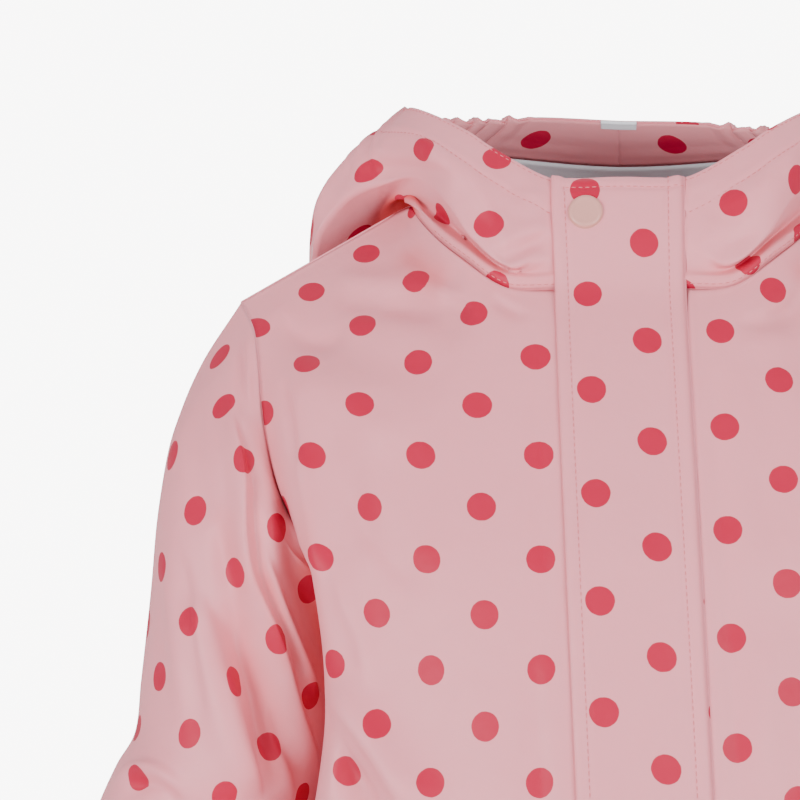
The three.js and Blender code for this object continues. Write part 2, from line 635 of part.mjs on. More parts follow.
// The woven tab, folded over the hood edge at the centre back.
function backTab() {
  const edge = hoodColumn(centreBack);
  const [top, below] = [edge[0], edge[2]];
  const down = unit(add(below, top, -1));
  const out = unit(cross([1, 0, 0], down));
  const gap = 2 * seamGap;
  const inside = clothThickness + facingThickness + 5 * seamGap;
  const face = (depth, drop) => add(add(top, out, depth), down, drop);
  const outline = [
    face(gap + 0.5, 9),
    face(gap, -gap),
    face(-inside, -gap),
    face(-inside, 2.4),
    face(-inside - tabThickness, 2.4),
    face(-inside - tabThickness, -gap - tabThickness),
    face(gap + tabThickness, -gap - tabThickness),
    face(gap + tabThickness + 0.5, 9),
  ];
  const shape = new THREE.Shape(outline.map((p) => new THREE.Vector2(p[1], p[2])));
  const geometry = new THREE.ExtrudeGeometry(shape, { depth: tabWidth, bevelEnabled: false });
  const turn = new THREE.Matrix4().makeBasis(
    new THREE.Vector3(0, 1, 0),
    new THREE.Vector3(0, 0, 1),
    new THREE.Vector3(1, 0, 0),
  );
  return geometry.applyMatrix4(turn).translate(-tabWidth / 2, 0, 0);
}

const shellPink = { color: 0xdeb9bd, roughness: 0.55, metalness: 0 };
const coat = new THREE.Group();
function piece(name, geometry, look = shellPink) {
  const mesh = new THREE.Mesh(geometry, new THREE.MeshStandardMaterial(look));
  mesh.name = name;
  coat.add(mesh);
  return mesh;
}

piece("front_right", clothWall(frontRightGrid, { top: true, start: true }));
piece("front_left", clothWall(frontLeftGrid, { top: true, start: true, finish: true }));
piece("back", clothWall(backGrid, { top: true, start: true, finish: true }));
piece("sleeve_right", clothWall(clearOfBody(sleeveRightGrid, -1), { top: true }, true));
piece("sleeve_left", clothWall(clearOfBody(sleeveLeftGrid, 1), { top: true }, true));
piece("hood_right", clothWall(hoodRightGrid, { bottom: true, start: true }));
piece("hood_left", clothWall(hoodLeftGrid, { bottom: true, start: true, finish: true }));
piece("hood_facing_right", facingWall(hoodRightGrid, { start: true }));
piece("hood_facing_left", facingWall(hoodLeftGrid, { finish: true }));
piece("hood_lining", liningWall(), { color: 0xcfd2d4, roughness: 0.8, metalness: 0 });
piece("storm_flap", flapWall());
piece("back_tab", backTab(), { color: 0xeef2f6, roughness: 0.8, metalness: 0 });
const snap = piece("snap_cap", snapCap(), { color: 0xd2ada6, roughness: 0.4, metalness: 0 });
const snapAt = snapPlace();
snap.position.set(...snapAt.foot);
snap.quaternion.setFromUnitVectors(new THREE.Vector3(0, 1, 0), new THREE.Vector3(...snapAt.normal));

export default coat;
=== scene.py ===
import math

import bpy
import numpy as np
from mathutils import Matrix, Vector


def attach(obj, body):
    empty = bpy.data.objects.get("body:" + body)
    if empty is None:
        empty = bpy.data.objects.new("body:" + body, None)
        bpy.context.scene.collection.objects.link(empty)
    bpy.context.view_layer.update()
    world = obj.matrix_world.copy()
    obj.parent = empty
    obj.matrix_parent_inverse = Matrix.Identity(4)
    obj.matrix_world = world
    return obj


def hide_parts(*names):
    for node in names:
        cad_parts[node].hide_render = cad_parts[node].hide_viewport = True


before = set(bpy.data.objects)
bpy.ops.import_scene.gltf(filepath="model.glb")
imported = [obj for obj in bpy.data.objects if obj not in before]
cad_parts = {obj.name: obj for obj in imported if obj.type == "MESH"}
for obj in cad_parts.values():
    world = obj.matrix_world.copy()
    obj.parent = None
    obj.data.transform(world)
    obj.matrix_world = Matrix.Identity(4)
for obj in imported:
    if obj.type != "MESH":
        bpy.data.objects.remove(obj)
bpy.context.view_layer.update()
mm = 0.001

print("camera")
cameraSettings = {"place": (0.0, -1.45, -0.19), "target": (-0.097, 0.0, -0.088), "halfTangent": 0.12138}
cameraData = bpy.data.cameras.new("camera")
cameraData.sensor_width = 36.0
cameraData.lens = 18.0 / cameraSettings["halfTangent"]
cameraData.clip_start = 0.05
cameraData.clip_end = 50.0
camera = bpy.data.objects.new("camera", cameraData)
camera.location = cameraSettings["place"]
lookWay = Vector(cameraSettings["target"]) - Vector(cameraSettings["place"])
camera.rotation_mode = "QUATERNION"
camera.rotation_quaternion = lookWay.to_track_quat("-Z", "Y")
bpy.context.collection.objects.link(camera)
bpy.context.scene.camera = camera


# Numbers and grids. A grid is rows x columns x 3, in millimetres: rows run down the cloth, and columns run
# to the right as seen from outside.
def ease(t):
    t = np.clip(t, 0, 1)
    return t * t * (3 - 2 * t)


def unit(v):
    return v / np.maximum(np.linalg.norm(v, axis=-1, keepdims=True), 1e-9)


def basis(keys, t):
    # The weight of each key's value in a smooth curve through them, at each t.
    keys = np.asarray(keys, float)
    t = np.atleast_1d(np.asarray(t, float))
    last = len(keys) - 1
    i = np.clip(np.searchsorted(keys, t, side="left") - 1, 0, last - 1)
    step = keys[i + 1] - keys[i]
    s = (t - keys[i]) / step
    rows = np.arange(len(t))
    out = np.zeros((len(t), len(keys)))
    np.add.at(out, (rows, i), 2 * s**3 - 3 * s**2 + 1)
    np.add.at(out, (rows, i + 1), 3 * s**2 - 2 * s**3)
    for k, weight in ((i, s**3 - 2 * s**2 + s), (i + 1, s**3 - s**2)):
        a, b = np.maximum(k - 1, 0), np.minimum(k + 1, last)
        slope = weight * step / (keys[b] - keys[a])
        np.add.at(out, (rows, b), slope)
        np.add.at(out, (rows, a), -slope)
    return out


def through(keys, values, t):
    return np.tensordot(basis(keys, t), np.asarray(values, float), axes=(1, 0))


def evenly(low, high, count):
    return [low + (high - low) * (k + 1) / count for k in range(count)]


def finer(keys, count):
    # Splits each step of a list into count equal ones.
    out = [keys[0]]
    for a, b in zip(keys[:-1], keys[1:]):
        out += evenly(a, b, count)
    return np.array(out)


def flip(grid):
    return grid[:, ::-1] * (-1, 1, 1)


def gridNormals(grid, closed=False):
    if closed:
        across = np.roll(grid, -1, axis=1) - np.roll(grid, 1, axis=1)
    else:
        across = np.gradient(grid, axis=1)
    return unit(np.cross(np.gradient(grid, axis=0), across))


def smoothRows(grid, times):
    # Rounds the corners along each row and keeps both ends.
    grid = grid.copy()
    for _ in range(times):
        grid[:, 1:-1] = 0.5 * grid[:, 1:-1] + 0.25 * (grid[:, :-2] + grid[:, 2:])
    return grid


def arcAcross(grid):
    steps = np.linalg.norm(np.diff(grid, axis=1), axis=2)
    return np.concatenate([np.zeros((len(grid), 1)), np.cumsum(steps, axis=1)], axis=1)


def arcDown(grid):
    steps = np.linalg.norm(np.diff(grid, axis=0), axis=2)
    return np.concatenate([np.zeros((1, grid.shape[1])), np.cumsum(steps, axis=0)], axis=0)


# Folds are lines in the front view (x, z in mm). wide is the half width on each side of the line, high is
# how far the cloth stands out there, and face is -1 on the coat's front and 1 on its back.
foldTaper = 0.3


def foldLine(name, path, wide, high, face=-1, twin=False, taper=foldTaper):
    wide = wide if isinstance(wide, tuple) else (wide, wide)
    return {"name": name, "path": path, "wide": wide, "high": high, "face": face, "twin": twin, "taper": taper}


def foldOffset(grid, normals, folds):
    total = np.zeros(grid.shape[:2])
    spot = grid[..., (0, 2)]
    for fold in folds:
        for side in (1, -1) if fold["twin"] else (1,):
            path = np.array(fold["path"], float) * (side, 1)
            if len(path) > 2:
                path = through(np.arange(len(path)), path, np.linspace(0, len(path) - 1, 5 * len(path)))
            runs = np.diff(path, axis=0)
            reach = np.linalg.norm(runs, axis=1)
            done = np.concatenate([[0], np.cumsum(reach)])
            nearest = np.full(total.shape, 1e9)
            away = np.zeros(total.shape)
            along = np.zeros(total.shape)
            for k, run in enumerate(runs):
                rel = spot - path[k]
                s = (rel @ run) / reach[k] ** 2
                inside = np.clip(s, 0, 1)
                gap = np.linalg.norm(rel - inside[..., None] * run, axis=-1)
                hit = gap < nearest
                nearest = np.where(hit, gap, nearest)
                cross = (rel[..., 0] * run[1] - rel[..., 1] * run[0]) / reach[k] * side
                away = np.where(hit, np.where(cross < 0, -gap, gap), away)
                along = np.where(hit, (done[k] + inside * reach[k]) / done[-1], along)
            width = np.where(away < 0, fold["wide"][0], fold["wide"][1])
            fade = ease(along / fold["taper"]) * ease((1 - along) / fold["taper"])
            facing = ease(1.25 * normals[..., 1] * fold["face"])
            total += facing * fade * fold["high"] * np.exp(-((away / width) ** 2))
    return total


def folded(grid, folds, keep=()):
    # Moves a grid along its normals by its folds. keep names the edges that stay where they are.
    normals = gridNormals(grid)
    height = foldOffset(grid, normals, folds)
    across, down = arcAcross(grid), arcDown(grid)
    near = 7.0
    if "top" in keep:
        height = height * ease(down / near)
    if "left" in keep:
        height = height * ease(across / near)
    if "right" in keep:
        height = height * ease((across[:, -1:] - across) / near)
    return grid + normals * height[..., None]


def gridMesh(name, outer, inner, pattern, extra, closed=False, bead=0.35, pinkRows=(0, 10000)):
    # A closed wall between two grids, with a rounded edge. pattern is the cloth's own (u, v) in metres, and
    # extra is what clothFacts gives. Inside, the rows in pinkRows show the second material.
    rows, columns = outer.shape[:2]
    wide = columns - 1 if closed else columns
    out, inn = outer[:, :wide], inner[:, :wide]
    thick = np.linalg.norm(out - inn, axis=2).mean()
    middle = (out + inn) / 2
    edgeTop = middle[0] + unit(middle[0] - middle[1]) * thick * bead
    edgeLow = middle[-1] + unit(middle[-1] - middle[-2]) * thick * bead
    parts = [out.reshape(-1, 3), inn.reshape(-1, 3), edgeTop, edgeLow]
    size = rows * wide
    top, low = 2 * size, 2 * size + wide
    if not closed:
        parts.append(middle[:, 0] + unit(middle[:, 0] - middle[:, 1]) * thick * bead)
        parts.append(middle[:, -1] + unit(middle[:, -1] - middle[:, -2]) * thick * bead)
    left, right = low + wide, low + wide + rows
    vertices = np.concatenate(parts) * mm
    faces, corners, look = [], [], []

    def at(i, j, side):
        return side * size + i * wide + (j % wide)

    def quad(a, b, c, d, cells, material):
        faces.append((a, b, c, d))
        corners.extend(cells)
        look.append(material)

    for i in range(rows - 1):
        for j in range(columns - 1):
            cells = ((i, j), (i + 1, j), (i + 1, j + 1), (i, j + 1))
            quad(at(i, j, 0), at(i + 1, j, 0), at(i + 1, j + 1, 0), at(i, j + 1, 0), cells, 0)
            cells = ((i, j), (i, j + 1), (i + 1, j + 1), (i + 1, j))
            within = 1 if pinkRows[0] <= i < pinkRows[1] else 0
            quad(at(i, j, 1), at(i, j + 1, 1), at(i + 1, j + 1, 1), at(i + 1, j, 1), cells, within)
    for j in range(columns - 1):
        a, b = j % wide, (j + 1) % wide
        cells = ((0, j), (0, j + 1), (0, j + 1), (0, j))
        quad(at(0, j, 0), at(0, j + 1, 0), top + b, top + a, cells, 0)
        quad(top + a, top + b, at(0, j + 1, 1), at(0, j, 1), cells, 0)
        k = rows - 1
        cells = ((k, j), (k, j), (k, j + 1), (k, j + 1))
        quad(at(k, j, 0), low + a, low + b, at(k, j + 1, 0), cells, 0)
        quad(low + a, at(k, j, 1), at(k, j + 1, 1), low + b, cells, 0)
    for i in range(0 if closed else rows - 1):
        cells = ((i, 0), (i, 0), (i + 1, 0), (i + 1, 0))
        quad(at(i, 0, 0), left + i, left + i + 1, at(i + 1, 0, 0), cells, 0)
        quad(left + i, at(i, 0, 1), at(i + 1, 0, 1), left + i + 1, cells, 0)
        k = columns - 1
        cells = ((i, k), (i + 1, k), (i + 1, k), (i, k))
        quad(at(i, k, 0), at(i + 1, k, 0), right + i + 1, right + i, cells, 0)
        quad(right + i, right + i + 1, at(i + 1, k, 1), at(i, k, 1), cells, 0)
    if not closed:
        # The four corners of the edge, where the beads meet.
        for i, strip, row, end in ((0, left, 0, top), (rows - 1, left, 1, low)):
            cells = ((i, 0), (i, 0), (i, 0))
            a, b, c = at(i, 0, 0), end, strip + (rows - 1) * row
            faces.append((a, b, c) if row == 0 else (a, c, b))
            faces.append((at(i, 0, 1), c, b) if row == 0 else (at(i, 0, 1), b, c))
            corners.extend(cells * 2)
            look.extend((0, 0))
        for i, row, end in ((0, 0, top), (rows - 1, 1, low)):
            k = columns - 1
            cells = ((i, k), (i, k), (i, k))
            a, b, c = at(i, k, 0), end + wide - 1, right + (rows - 1) * row
            faces.append((a, c, b) if row == 0 else (a, b, c))
            faces.append((at(i, k, 1), b, c) if row == 0 else (at(i, k, 1), c, b))
            corners.extend(cells * 2)
            look.extend((0, 0))
    mesh = bpy.data.meshes.new(name)
    mesh.from_pydata(vertices.tolist(), [], faces)
    cells = np.array(corners)
    layer = mesh.uv_layers.new(name="pattern")
    layer.data.foreach_set("uv", pattern[cells[:, 0], cells[:, 1]].astype(np.float32).ravel())
    facts = mesh.attributes.new(name="cloth", type="FLOAT_VECTOR", domain="CORNER")
    facts.data.foreach_set("vector", extra[cells[:, 0], cells[:, 1]].astype(np.float32).ravel())
    mesh.polygons.foreach_set("material_index", look)
    mesh.polygons.foreach_set("use_smooth", [True] * len(faces))
    mesh.update()
    piece = bpy.data.objects.new(name, mesh)
    bpy.context.collection.objects.link(piece)
    return piece


def rowSolver(pull, wide):
    # Solves the flattening's equations row by row, because each row of the cloth pulls only on the next ones.
    rows = [slice(k, k + wide) for k in range(0, len(pull), wide)]
    inverses = []
    for i, row in enumerate(rows):
        block = pull[row, row]
        if i:
            block = block - pull[row, rows[i - 1]] @ inverses[-1] @ pull[rows[i - 1], row]
        inverses.append(np.linalg.inv(block))

    def solve(push):
        out = push.copy()
        for i in range(1, len(rows)):
            out[rows[i]] -= pull[rows[i], rows[i - 1]] @ (inverses[i - 1] @ out[rows[i - 1]])
        for i in range(len(rows) - 1, -1, -1):
            if i < len(rows) - 1:
                out[rows[i]] -= pull[rows[i], rows[i + 1]] @ out[rows[i + 1]]
            out[rows[i]] = inverses[i] @ out[rows[i]]
        return out

    return solve


def flatten(grid, most=(40, 62), rounds=40):
    # Lays a curved grid flat in millimetres, as the cloth was cut. Each triangle keeps its own shape as well
    # as it can: turn every one to suit its corners, then move all the corners to suit the turned triangles.
    rows, columns = (
        np.unique(np.linspace(0, size - 1, min(size, limit)).round().astype(int))
        for size, limit in zip(grid.shape, most)
    )
    sheet = grid[rows][:, columns]
    points, wide = sheet.reshape(-1, 3), len(columns)
    cell = (np.arange(len(rows) - 1)[:, None] * wide + np.arange(wide - 1)[None]).ravel()
    lower = np.stack([cell, cell + wide, cell + wide + 1], axis=1)
    upper = np.stack([cell, cell + wide + 1, cell + 1], axis=1)
    corners = np.concatenate([lower, upper])
    sideA, sideB = (points[corners[:, k]] - points[corners[:, 0]] for k in (1, 2))
    along = (sideB * unit(sideA)).sum(axis=1)
    square = np.linalg.norm(sideB - along[:, None] * unit(sideA), axis=1)
    plain = np.zeros((len(corners), 3, 2))
    plain[:, 1, 0] = np.linalg.norm(sideA, axis=1)
    plain[:, 2] = np.stack([along, square], axis=1)
    sides = []
    pull = np.zeros((len(points), len(points)))
    for k in range(3):
        i, j = (k + 1) % 3, (k + 2) % 3
        u, v = plain[:, i] - plain[:, k], plain[:, j] - plain[:, k]
        twice = np.maximum(np.abs(u[:, 0] * v[:, 1] - u[:, 1] * v[:, 0]), 1e-6)
        weight = np.clip((u * v).sum(axis=1) / twice, 0.05, 20) / 2
        first, second = corners[:, i], corners[:, j]
        sides.append((first, second, plain[:, i] - plain[:, j], weight[:, None]))
        np.add.at(pull, (first, first), weight)
        np.add.at(pull, (second, second), weight)
        np.add.at(pull, (first, second), -weight)
        np.add.at(pull, (second, first), -weight)
    pull[0, 0] += 1
    settle = rowSolver(pull, wide)
    across, down = arcAcross(sheet), arcDown(sheet)
    flat = np.stack(np.meshgrid(across.mean(axis=0), -down.mean(axis=1)), axis=-1).reshape(-1, 2)
    for _ in range(rounds):
        same, turned = 0, 0
        for first, second, side, weight in sides:
            gap = flat[first] - flat[second]
            same = same + (weight * side * gap).sum(axis=1)
            turned = turned + weight[:, 0] * (side[:, 0] * gap[:, 1] - side[:, 1] * gap[:, 0])
        angle = np.arctan2(turned, same)[:, None]
        push = np.zeros(flat.shape)
        for first, second, side, weight in sides:
            way = np.cos(angle) * side + np.sin(angle) * side[:, ::-1] * (-1, 1)
            np.add.at(push, first, weight * way)
            np.add.at(push, second, -weight * way)
        flat = settle(push)
    fineRows = basis(rows, np.arange(grid.shape[0]))
    fineColumns = basis(columns, np.arange(grid.shape[1]))
    return np.einsum("ai,bj,ijc->abc", fineRows, fineColumns, flat.reshape(len(rows), wide, 2))


# How the print lies on each piece: u and v in mm, each as a sum of 1, U, V, U U, U V and V V, where U and V
# are the flat cloth's own places in units of 100 mm. Nobody cuts or sews a print exactly straight.
printPlacing = {
    "front_right": ((13.0, 100.3, -4.4, -0.4, -7.1, 3.2), (22.4, 8.1, 99.4, -6.8, 2.2, 0.6)),
    "storm_flap": ((37.6, 100.1, 0.3, 0, -0.1, 0.3), (29.0, 1.3, 96.3, 0, -0.2, -0.7)),
    "front_left": ((57.7, 100.1, 1.9, 0, 0.9, -0.1), (32.4, -2.5, 102.6, 0, 0.9, -0.6)),
    "hood_left": ((15.0, 95.8, -27.7, -0.1, 0, 0), (38.3, 27.4, 95.5, -0.1, -0.1, 0.2)),
    "hood_right": ((-17.8, 49.5, -83.5, 7.2, -0.6, 1.2), (23.4, 81.0, 57.5, 2.6, -2.0, 0.3)),
    "sleeve_right": ((7.2, 104.0, 19.8, 3.5, -1.6, 3.8), (37.4, -15.4, 94.3, -0.6, 0.3, -2.7)),
}
straight = ((0, 100, 0, 0, 0, 0), (0, 0, 100, 0, 0, 0))


def placed(flat, name):
    u, v = flat[..., 0] / 100, flat[..., 1] / 100
    terms = np.stack([1 + 0 * u, u, v, u * u, u * v, v * v], axis=-1)
    return terms @ np.array(printPlacing.get(name, straight), float).T * mm


def clothPattern(grid, row, columnAt, name):
    # The cloth's own (u, v) in metres. The grid's point (row, columnAt) is the start, with the cloth below
    # it straight down.
    flat = flatten(grid)
    below = min(row + 12, grid.shape[0] - 1)
    run = flat[below, columnAt] - flat[row, columnAt]
    angle = -math.atan2(run[0], -run[1])
    c, s = math.cos(angle), math.sin(angle)
    moved = flat - flat[row, columnAt]
    moved = np.stack([c * moved[..., 0] - s * moved[..., 1], s * moved[..., 0] + c * moved[..., 1]], axis=-1)
    return placed(moved, name)


def rowAt(grid, columnAt, height):
    return int(np.argmin(np.abs(grid[:, columnAt, 2] - height)))


def clothFacts(grid, depth, seams):
    # For the material: depth, from 0 to 1, is how much painted shade darkens and reddens the cloth in a fold,
    # and then comes the shortest way to a sewn edge in metres. seams names the edges that are sewn.
    across, down = arcAcross(grid), arcDown(grid)
    nearest = np.full(grid.shape[:2], 99.0)
    if "top" in seams:
        nearest = np.minimum(nearest, down)
    if "low" in seams:
        nearest = np.minimum(nearest, down[-1:] - down)
    if "left" in seams:
        nearest = np.minimum(nearest, across)
    if "right" in seams:
        nearest = np.minimum(nearest, across[:, -1:] - across)
    return np.stack([depth, nearest * mm, 0 * depth], axis=-1)


print("materials")
latticeSettings = {"across": 0.048, "up": 0.045, "radius": 0.00605, "soft": 0.00022}
pinkCloth = (0.83, 0.29, 0.335)
dotColour = (0.47, 0.006, 0.042)


def nodeGroup(name, inputs, outputs):
    group = bpy.data.node_groups.new(name, "ShaderNodeTree")
    for label, kind, value in inputs:
        socket = group.interface.new_socket(name=label, in_out="INPUT", socket_type=kind)
        socket.default_value = value
    for label, kind in outputs:
        group.interface.new_socket(name=label, in_out="OUTPUT", socket_type=kind)
    start = group.nodes.new("NodeGroupInput")
    finish = group.nodes.new("NodeGroupOutput")
    return group, start, finish


def mathNode(tree, operation, a, b=None, c=None, clamp=False):
    node = tree.nodes.new("ShaderNodeMath")
    node.operation = operation
    node.use_clamp = clamp
    for k, value in enumerate((a, b, c)):
        if value is None:
            continue
        if isinstance(value, (int, float)):
            node.inputs[k].default_value = value
        else:
            tree.links.new(value, node.inputs[k])
    return node.outputs[0]


def mixColour(tree, factor, a, b, blend="MIX"):
    node = tree.nodes.new("ShaderNodeMix")
    node.data_type = "RGBA"
    node.blend_type = blend
    for socket, value in ((node.inputs[0], factor), (node.inputs[6], a), (node.inputs[7], b)):
        if isinstance(value, (int, float)):
            socket.default_value = value
        elif isinstance(value, tuple):
            socket.default_value = (*value, 1.0)
        else:
            tree.links.new(value, socket)
    return node.outputs[2]


def noiseNode(tree, coordinates, scale, detail=2.0, rough=0.5):
    node = tree.nodes.new("ShaderNodeTexNoise")
    node.inputs["Scale"].default_value = scale
    node.inputs["Detail"].default_value = detail
    node.inputs["Roughness"].default_value = rough
    tree.links.new(coordinates, node.inputs["Vector"])
    return node.outputs["Fac"]


def makeDots():
    # 1 inside a round dot, 0 outside. The dots stand in columns, each second column half a step lower.
    group, start, finish = nodeGroup(
        "dots",
        [("Coordinates", "NodeSocketVector", (0, 0, 0))],
        [("Dot", "NodeSocketFloat")],
    )
    split = group.nodes.new("ShaderNodeSeparateXYZ")
    group.links.new(start.outputs[0], split.inputs[0])
    settings = latticeSettings
    wobble = noiseNode(group, start.outputs[0], 420.0, 1.0)
    distances = []
    for shift in (0.0, 0.5):
        parts = []
        for axis, pitch in ((0, settings["across"]), (1, settings["up"])):
            cell = mathNode(group, "DIVIDE", split.outputs[axis], pitch)
            moved = mathNode(group, "ADD", cell, shift)
            whole = mathNode(group, "ROUND", moved)
            rest = mathNode(group, "SUBTRACT", moved, whole)
            parts.append(mathNode(group, "MULTIPLY", rest, pitch))
        squares = [mathNode(group, "POWER", part, 2.0) for part in parts]
        distances.append(mathNode(group, "SQRT", mathNode(group, "ADD", *squares)))
    near = mathNode(group, "MINIMUM", distances[0], distances[1])
    edge = mathNode(group, "MULTIPLY_ADD", wobble, 0.00035, settings["radius"] - 0.000175)
    inside = mathNode(group, "SUBTRACT", edge, near)
    share = mathNode(group, "DIVIDE", inside, settings["soft"])
    out = mathNode(group, "ADD", share, 0.5, clamp=True)
    group.links.new(out, finish.inputs[0])
    return group


# From a seam outwards: where, how wide and how high, in metres.
seamRelief = ((0.0, 0.0009, -0.0006), (0.0024, 0.0016, 0.00018))


def makeClothBump():
    # The height of the coated cloth, in metres: soft crumples, a fine weave under the coating, and the
    # small step down at a seam.
    group, start, finish = nodeGroup(
        "clothRelief",
        [
            ("Coordinates", "NodeSocketVector", (0, 0, 0)),
            ("Seam distance", "NodeSocketFloat", 1.0),
            ("Crumple", "NodeSocketFloat", 1.0),
        ],
        [("Height", "NodeSocketFloat")],
    )
    large = noiseNode(group, start.outputs[0], 34.0, 2.0, 0.45)
    small = noiseNode(group, start.outputs[0], 120.0, 2.0, 0.5)
    grain = noiseNode(group, start.outputs[0], 1500.0, 1.0, 0.5)
    height = mathNode(group, "MULTIPLY", large, 0.0011)
    height = mathNode(group, "MULTIPLY_ADD", small, 0.00022, height)
    height = mathNode(group, "MULTIPLY", height, start.outputs[2])
    height = mathNode(group, "MULTIPLY_ADD", grain, 0.000018, height)
    for centre, width, rise in seamRelief:
        off = mathNode(group, "DIVIDE", mathNode(group, "SUBTRACT", start.outputs[1], centre), width)
        square = mathNode(group, "POWER", off, 2.0)
        bell = mathNode(group, "EXPONENT", mathNode(group, "MULTIPLY", square, -1.0))
        height = mathNode(group, "MULTIPLY_ADD", bell, rise, height)
    group.links.new(height, finish.inputs[0])
    return group


dotsGroup = makeDots()
reliefGroup = makeClothBump()


def addGroup(tree, group):
    node = tree.nodes.new("ShaderNodeGroup")
    node.node_tree = group
    return node


def startMaterial(name):
    material = bpy.data.materials.new(name)
    material.use_nodes = True
    tree = material.node_tree
    return material, tree, tree.nodes["Principled BSDF"]


def clothMaterial(name, settings):
    material, tree, shader = startMaterial(name)
    pattern = tree.nodes.new("ShaderNodeUVMap")
    pattern.uv_map = "pattern"
    place = tree.nodes.new("ShaderNodeTexCoord").outputs["Object"]
    facts = tree.nodes.new("ShaderNodeAttribute")
    facts.attribute_name = "cloth"
    split = tree.nodes.new("ShaderNodeSeparateXYZ")
    tree.links.new(facts.outputs["Vector"], split.inputs[0])
    tone = noiseNode(tree, place, 14.0, 3.0)
    base = mixColour(tree, tone, settings["cloth"], settings["clothAlso"])
    # Painted shade: where the first value of the cloth attribute is high, the colour is multiplied by a darker,
    # redder colour, standing in for the low red light in folds and hollows.
    paintedShade = mixColour(tree, 1.0, base, settings["paintedShade"], "MULTIPLY")
    base = mixColour(tree, split.outputs[0], base, paintedShade)
    if settings["dots"]:
        dots = addGroup(tree, dotsGroup)
        tree.links.new(pattern.outputs[0], dots.inputs[0])
        base = mixColour(tree, dots.outputs[0], base, settings["dot"])
    tree.links.new(base, shader.inputs["Base Color"])
    unevenness = noiseNode(tree, place, 90.0, 2.0)
    rough = mathNode(tree, "MULTIPLY_ADD", unevenness, 0.12, settings["roughness"] - 0.06)
    tree.links.new(rough, shader.inputs["Roughness"])
    shader.inputs["Specular IOR Level"].default_value = settings["specular"]
    shader.inputs["Sheen Weight"].default_value = settings["sheen"]
    shader.inputs["Sheen Roughness"].default_value = 0.5
    shader.inputs["Subsurface Weight"].default_value = settings["subsurface"]
    shader.inputs["Subsurface Radius"].default_value = (1.0, 0.22, 0.18)
    shader.inputs["Subsurface Scale"].default_value = 0.004
    relief = addGroup(tree, reliefGroup)
    tree.links.new(place, relief.inputs[0])
    tree.links.new(split.outputs[1], relief.inputs[1])
    relief.inputs[2].default_value = settings["crumple"]
    bump = tree.nodes.new("ShaderNodeBump")
    bump.inputs["Strength"].default_value = 1.0
    bump.inputs["Distance"].default_value = 1.0
    tree.links.new(relief.outputs[0], bump.inputs["Height"])
    tree.links.new(bump.outputs[0], shader.inputs["Normal"])
    return material


shellSettings = {
    "cloth": pinkCloth,
    "clothAlso": (0.80, 0.272, 0.318),
    "dots": True,
    "dot": dotColour,
    # The darker, redder colour below is what painted shade in folds multiplies the cloth by.
    "paintedShade": (0.9, 0.3, 0.29),
    "roughness": 0.5,
    "specular": 0.27,
    "sheen": 0.0,
    "subsurface": 0.12,
    "crumple": 1.0,
}
shell = clothMaterial("shell", shellSettings)
facingSettings = {**shellSettings, "cloth": (0.84, 0.31, 0.34), "clothAlso": (0.82, 0.29, 0.32), "crumple": 0.7}
facingLook = clothMaterial("facing", facingSettings)
liningSettings = {
    **shellSettings,
    "dots": False,
    "cloth": (0.82, 0.86, 0.9),
    "clothAlso": (0.76, 0.8, 0.85),
    # The colour below is what painted shade in folds multiplies the lining by.
    "paintedShade": (0.8, 0.75, 0.75),
    "roughness": 0.75,
    "specular": 0.2,
    "subsurface": 0.0,
    "crumple": 0.6,
}
lining = clothMaterial("lining", liningSettings)


def plainMaterial(name, colour, roughness, grainScale=900.0, grain=0.00003):
    material, tree, shader = startMaterial(name)
    place = tree.nodes.new("ShaderNodeTexCoord").outputs["Object"]
    tone = noiseNode(tree, place, 60.0, 2.0)
    darker = tuple(0.93 * c for c in colour)
    tree.links.new(mixColour(tree, tone, colour, darker), shader.inputs["Base Color"])
    shader.inputs["Roughness"].default_value = roughness
    bump = tree.nodes.new("ShaderNodeBump")
    bump.inputs["Distance"].default_value = 1.0
    height = mathNode(tree, "MULTIPLY", noiseNode(tree, place, grainScale, 2.0), grain)
    tree.links.new(height, bump.inputs["Height"])
    tree.links.new(bump.outputs[0], shader.inputs["Normal"])
    return material


threadLook = plainMaterial("thread", (0.72, 0.19, 0.215), 0.7)
snapLook = plainMaterial("snap", (0.66, 0.30, 0.26), 0.38, 500.0, 0.00001)
tabLook = plainMaterial("tab", (0.86, 0.88, 0.93), 0.8, 2200.0, 0.00008)

print("the shape's tables")


def table(names, rows):
    return [dict(zip(names, row)) for row in rows]


# Sections of the coat in mm: along is the way along the neck seam from the centre front,
# or down the sleeve, and down is the way from the neck.
hoodStations = table(
    ("along", "seam", "tuck", "fold", "outer", "edge"),
    [
        (0, (0, -60, -45.5), (0, -59.6, -37), (0, -58.5, -23), (0, -55, -9), (0, -49.5, 2.2)),
        (28, (28, -59.5, -45.5), (28, -59, -37), (28, -58, -24), (28, -54.5, -9), (28.5, -48.5, 3.4)),
        (48, (48, -57, -44.5), (48, -54, -36), (46, -62, -35), (50, -56, -10), (52.5, -43, 16.8)),
        (71, (65, -49, -32), (68, -39, -19), (61.5, -57, -24), (65, -52, 2), (65, -36.5, 26)),
        (90, (77, -39, -22), (82, -22, -6), (73.5, -46, -6), (78.5, -42, 15), (79, -24.5, 34.6)),
        (115, (88, -20, -9), (97, -2, 2.5), (87.5, -27, 7.5), (93, -24, 26), (90, -11, 40.5)),
        (141, (92, 4, 0), (107, 21, -2), (104, -11, 7), (106.5, -6, 27), (94, 6, 42.5)),
        (159, (90, 22, -2), (111, 42, -16), (123, 3, 1), (121.5, 8, 21.5), (91, 21, 42)),
        (175, (82, 36, -5), (106, 60, -34), (138, 21, -19.5), (135.5, 20, 4), (81, 35, 40.5)),
        (195, (66, 47, -7), (90, 76, -60), (133, 60, -66), (134.5, 55, -16), (64, 47, 41.5)),
        (222, (40, 54, -8), (54, 86, -84), (92, 104, -128), (103, 104, -34), (38, 57.5, 45)),
        (262, (0, 57, -8), (0, 91, -92), (0, 118, -150), (0, 134, -56), (0, 62, 45.2)),
    ],
)
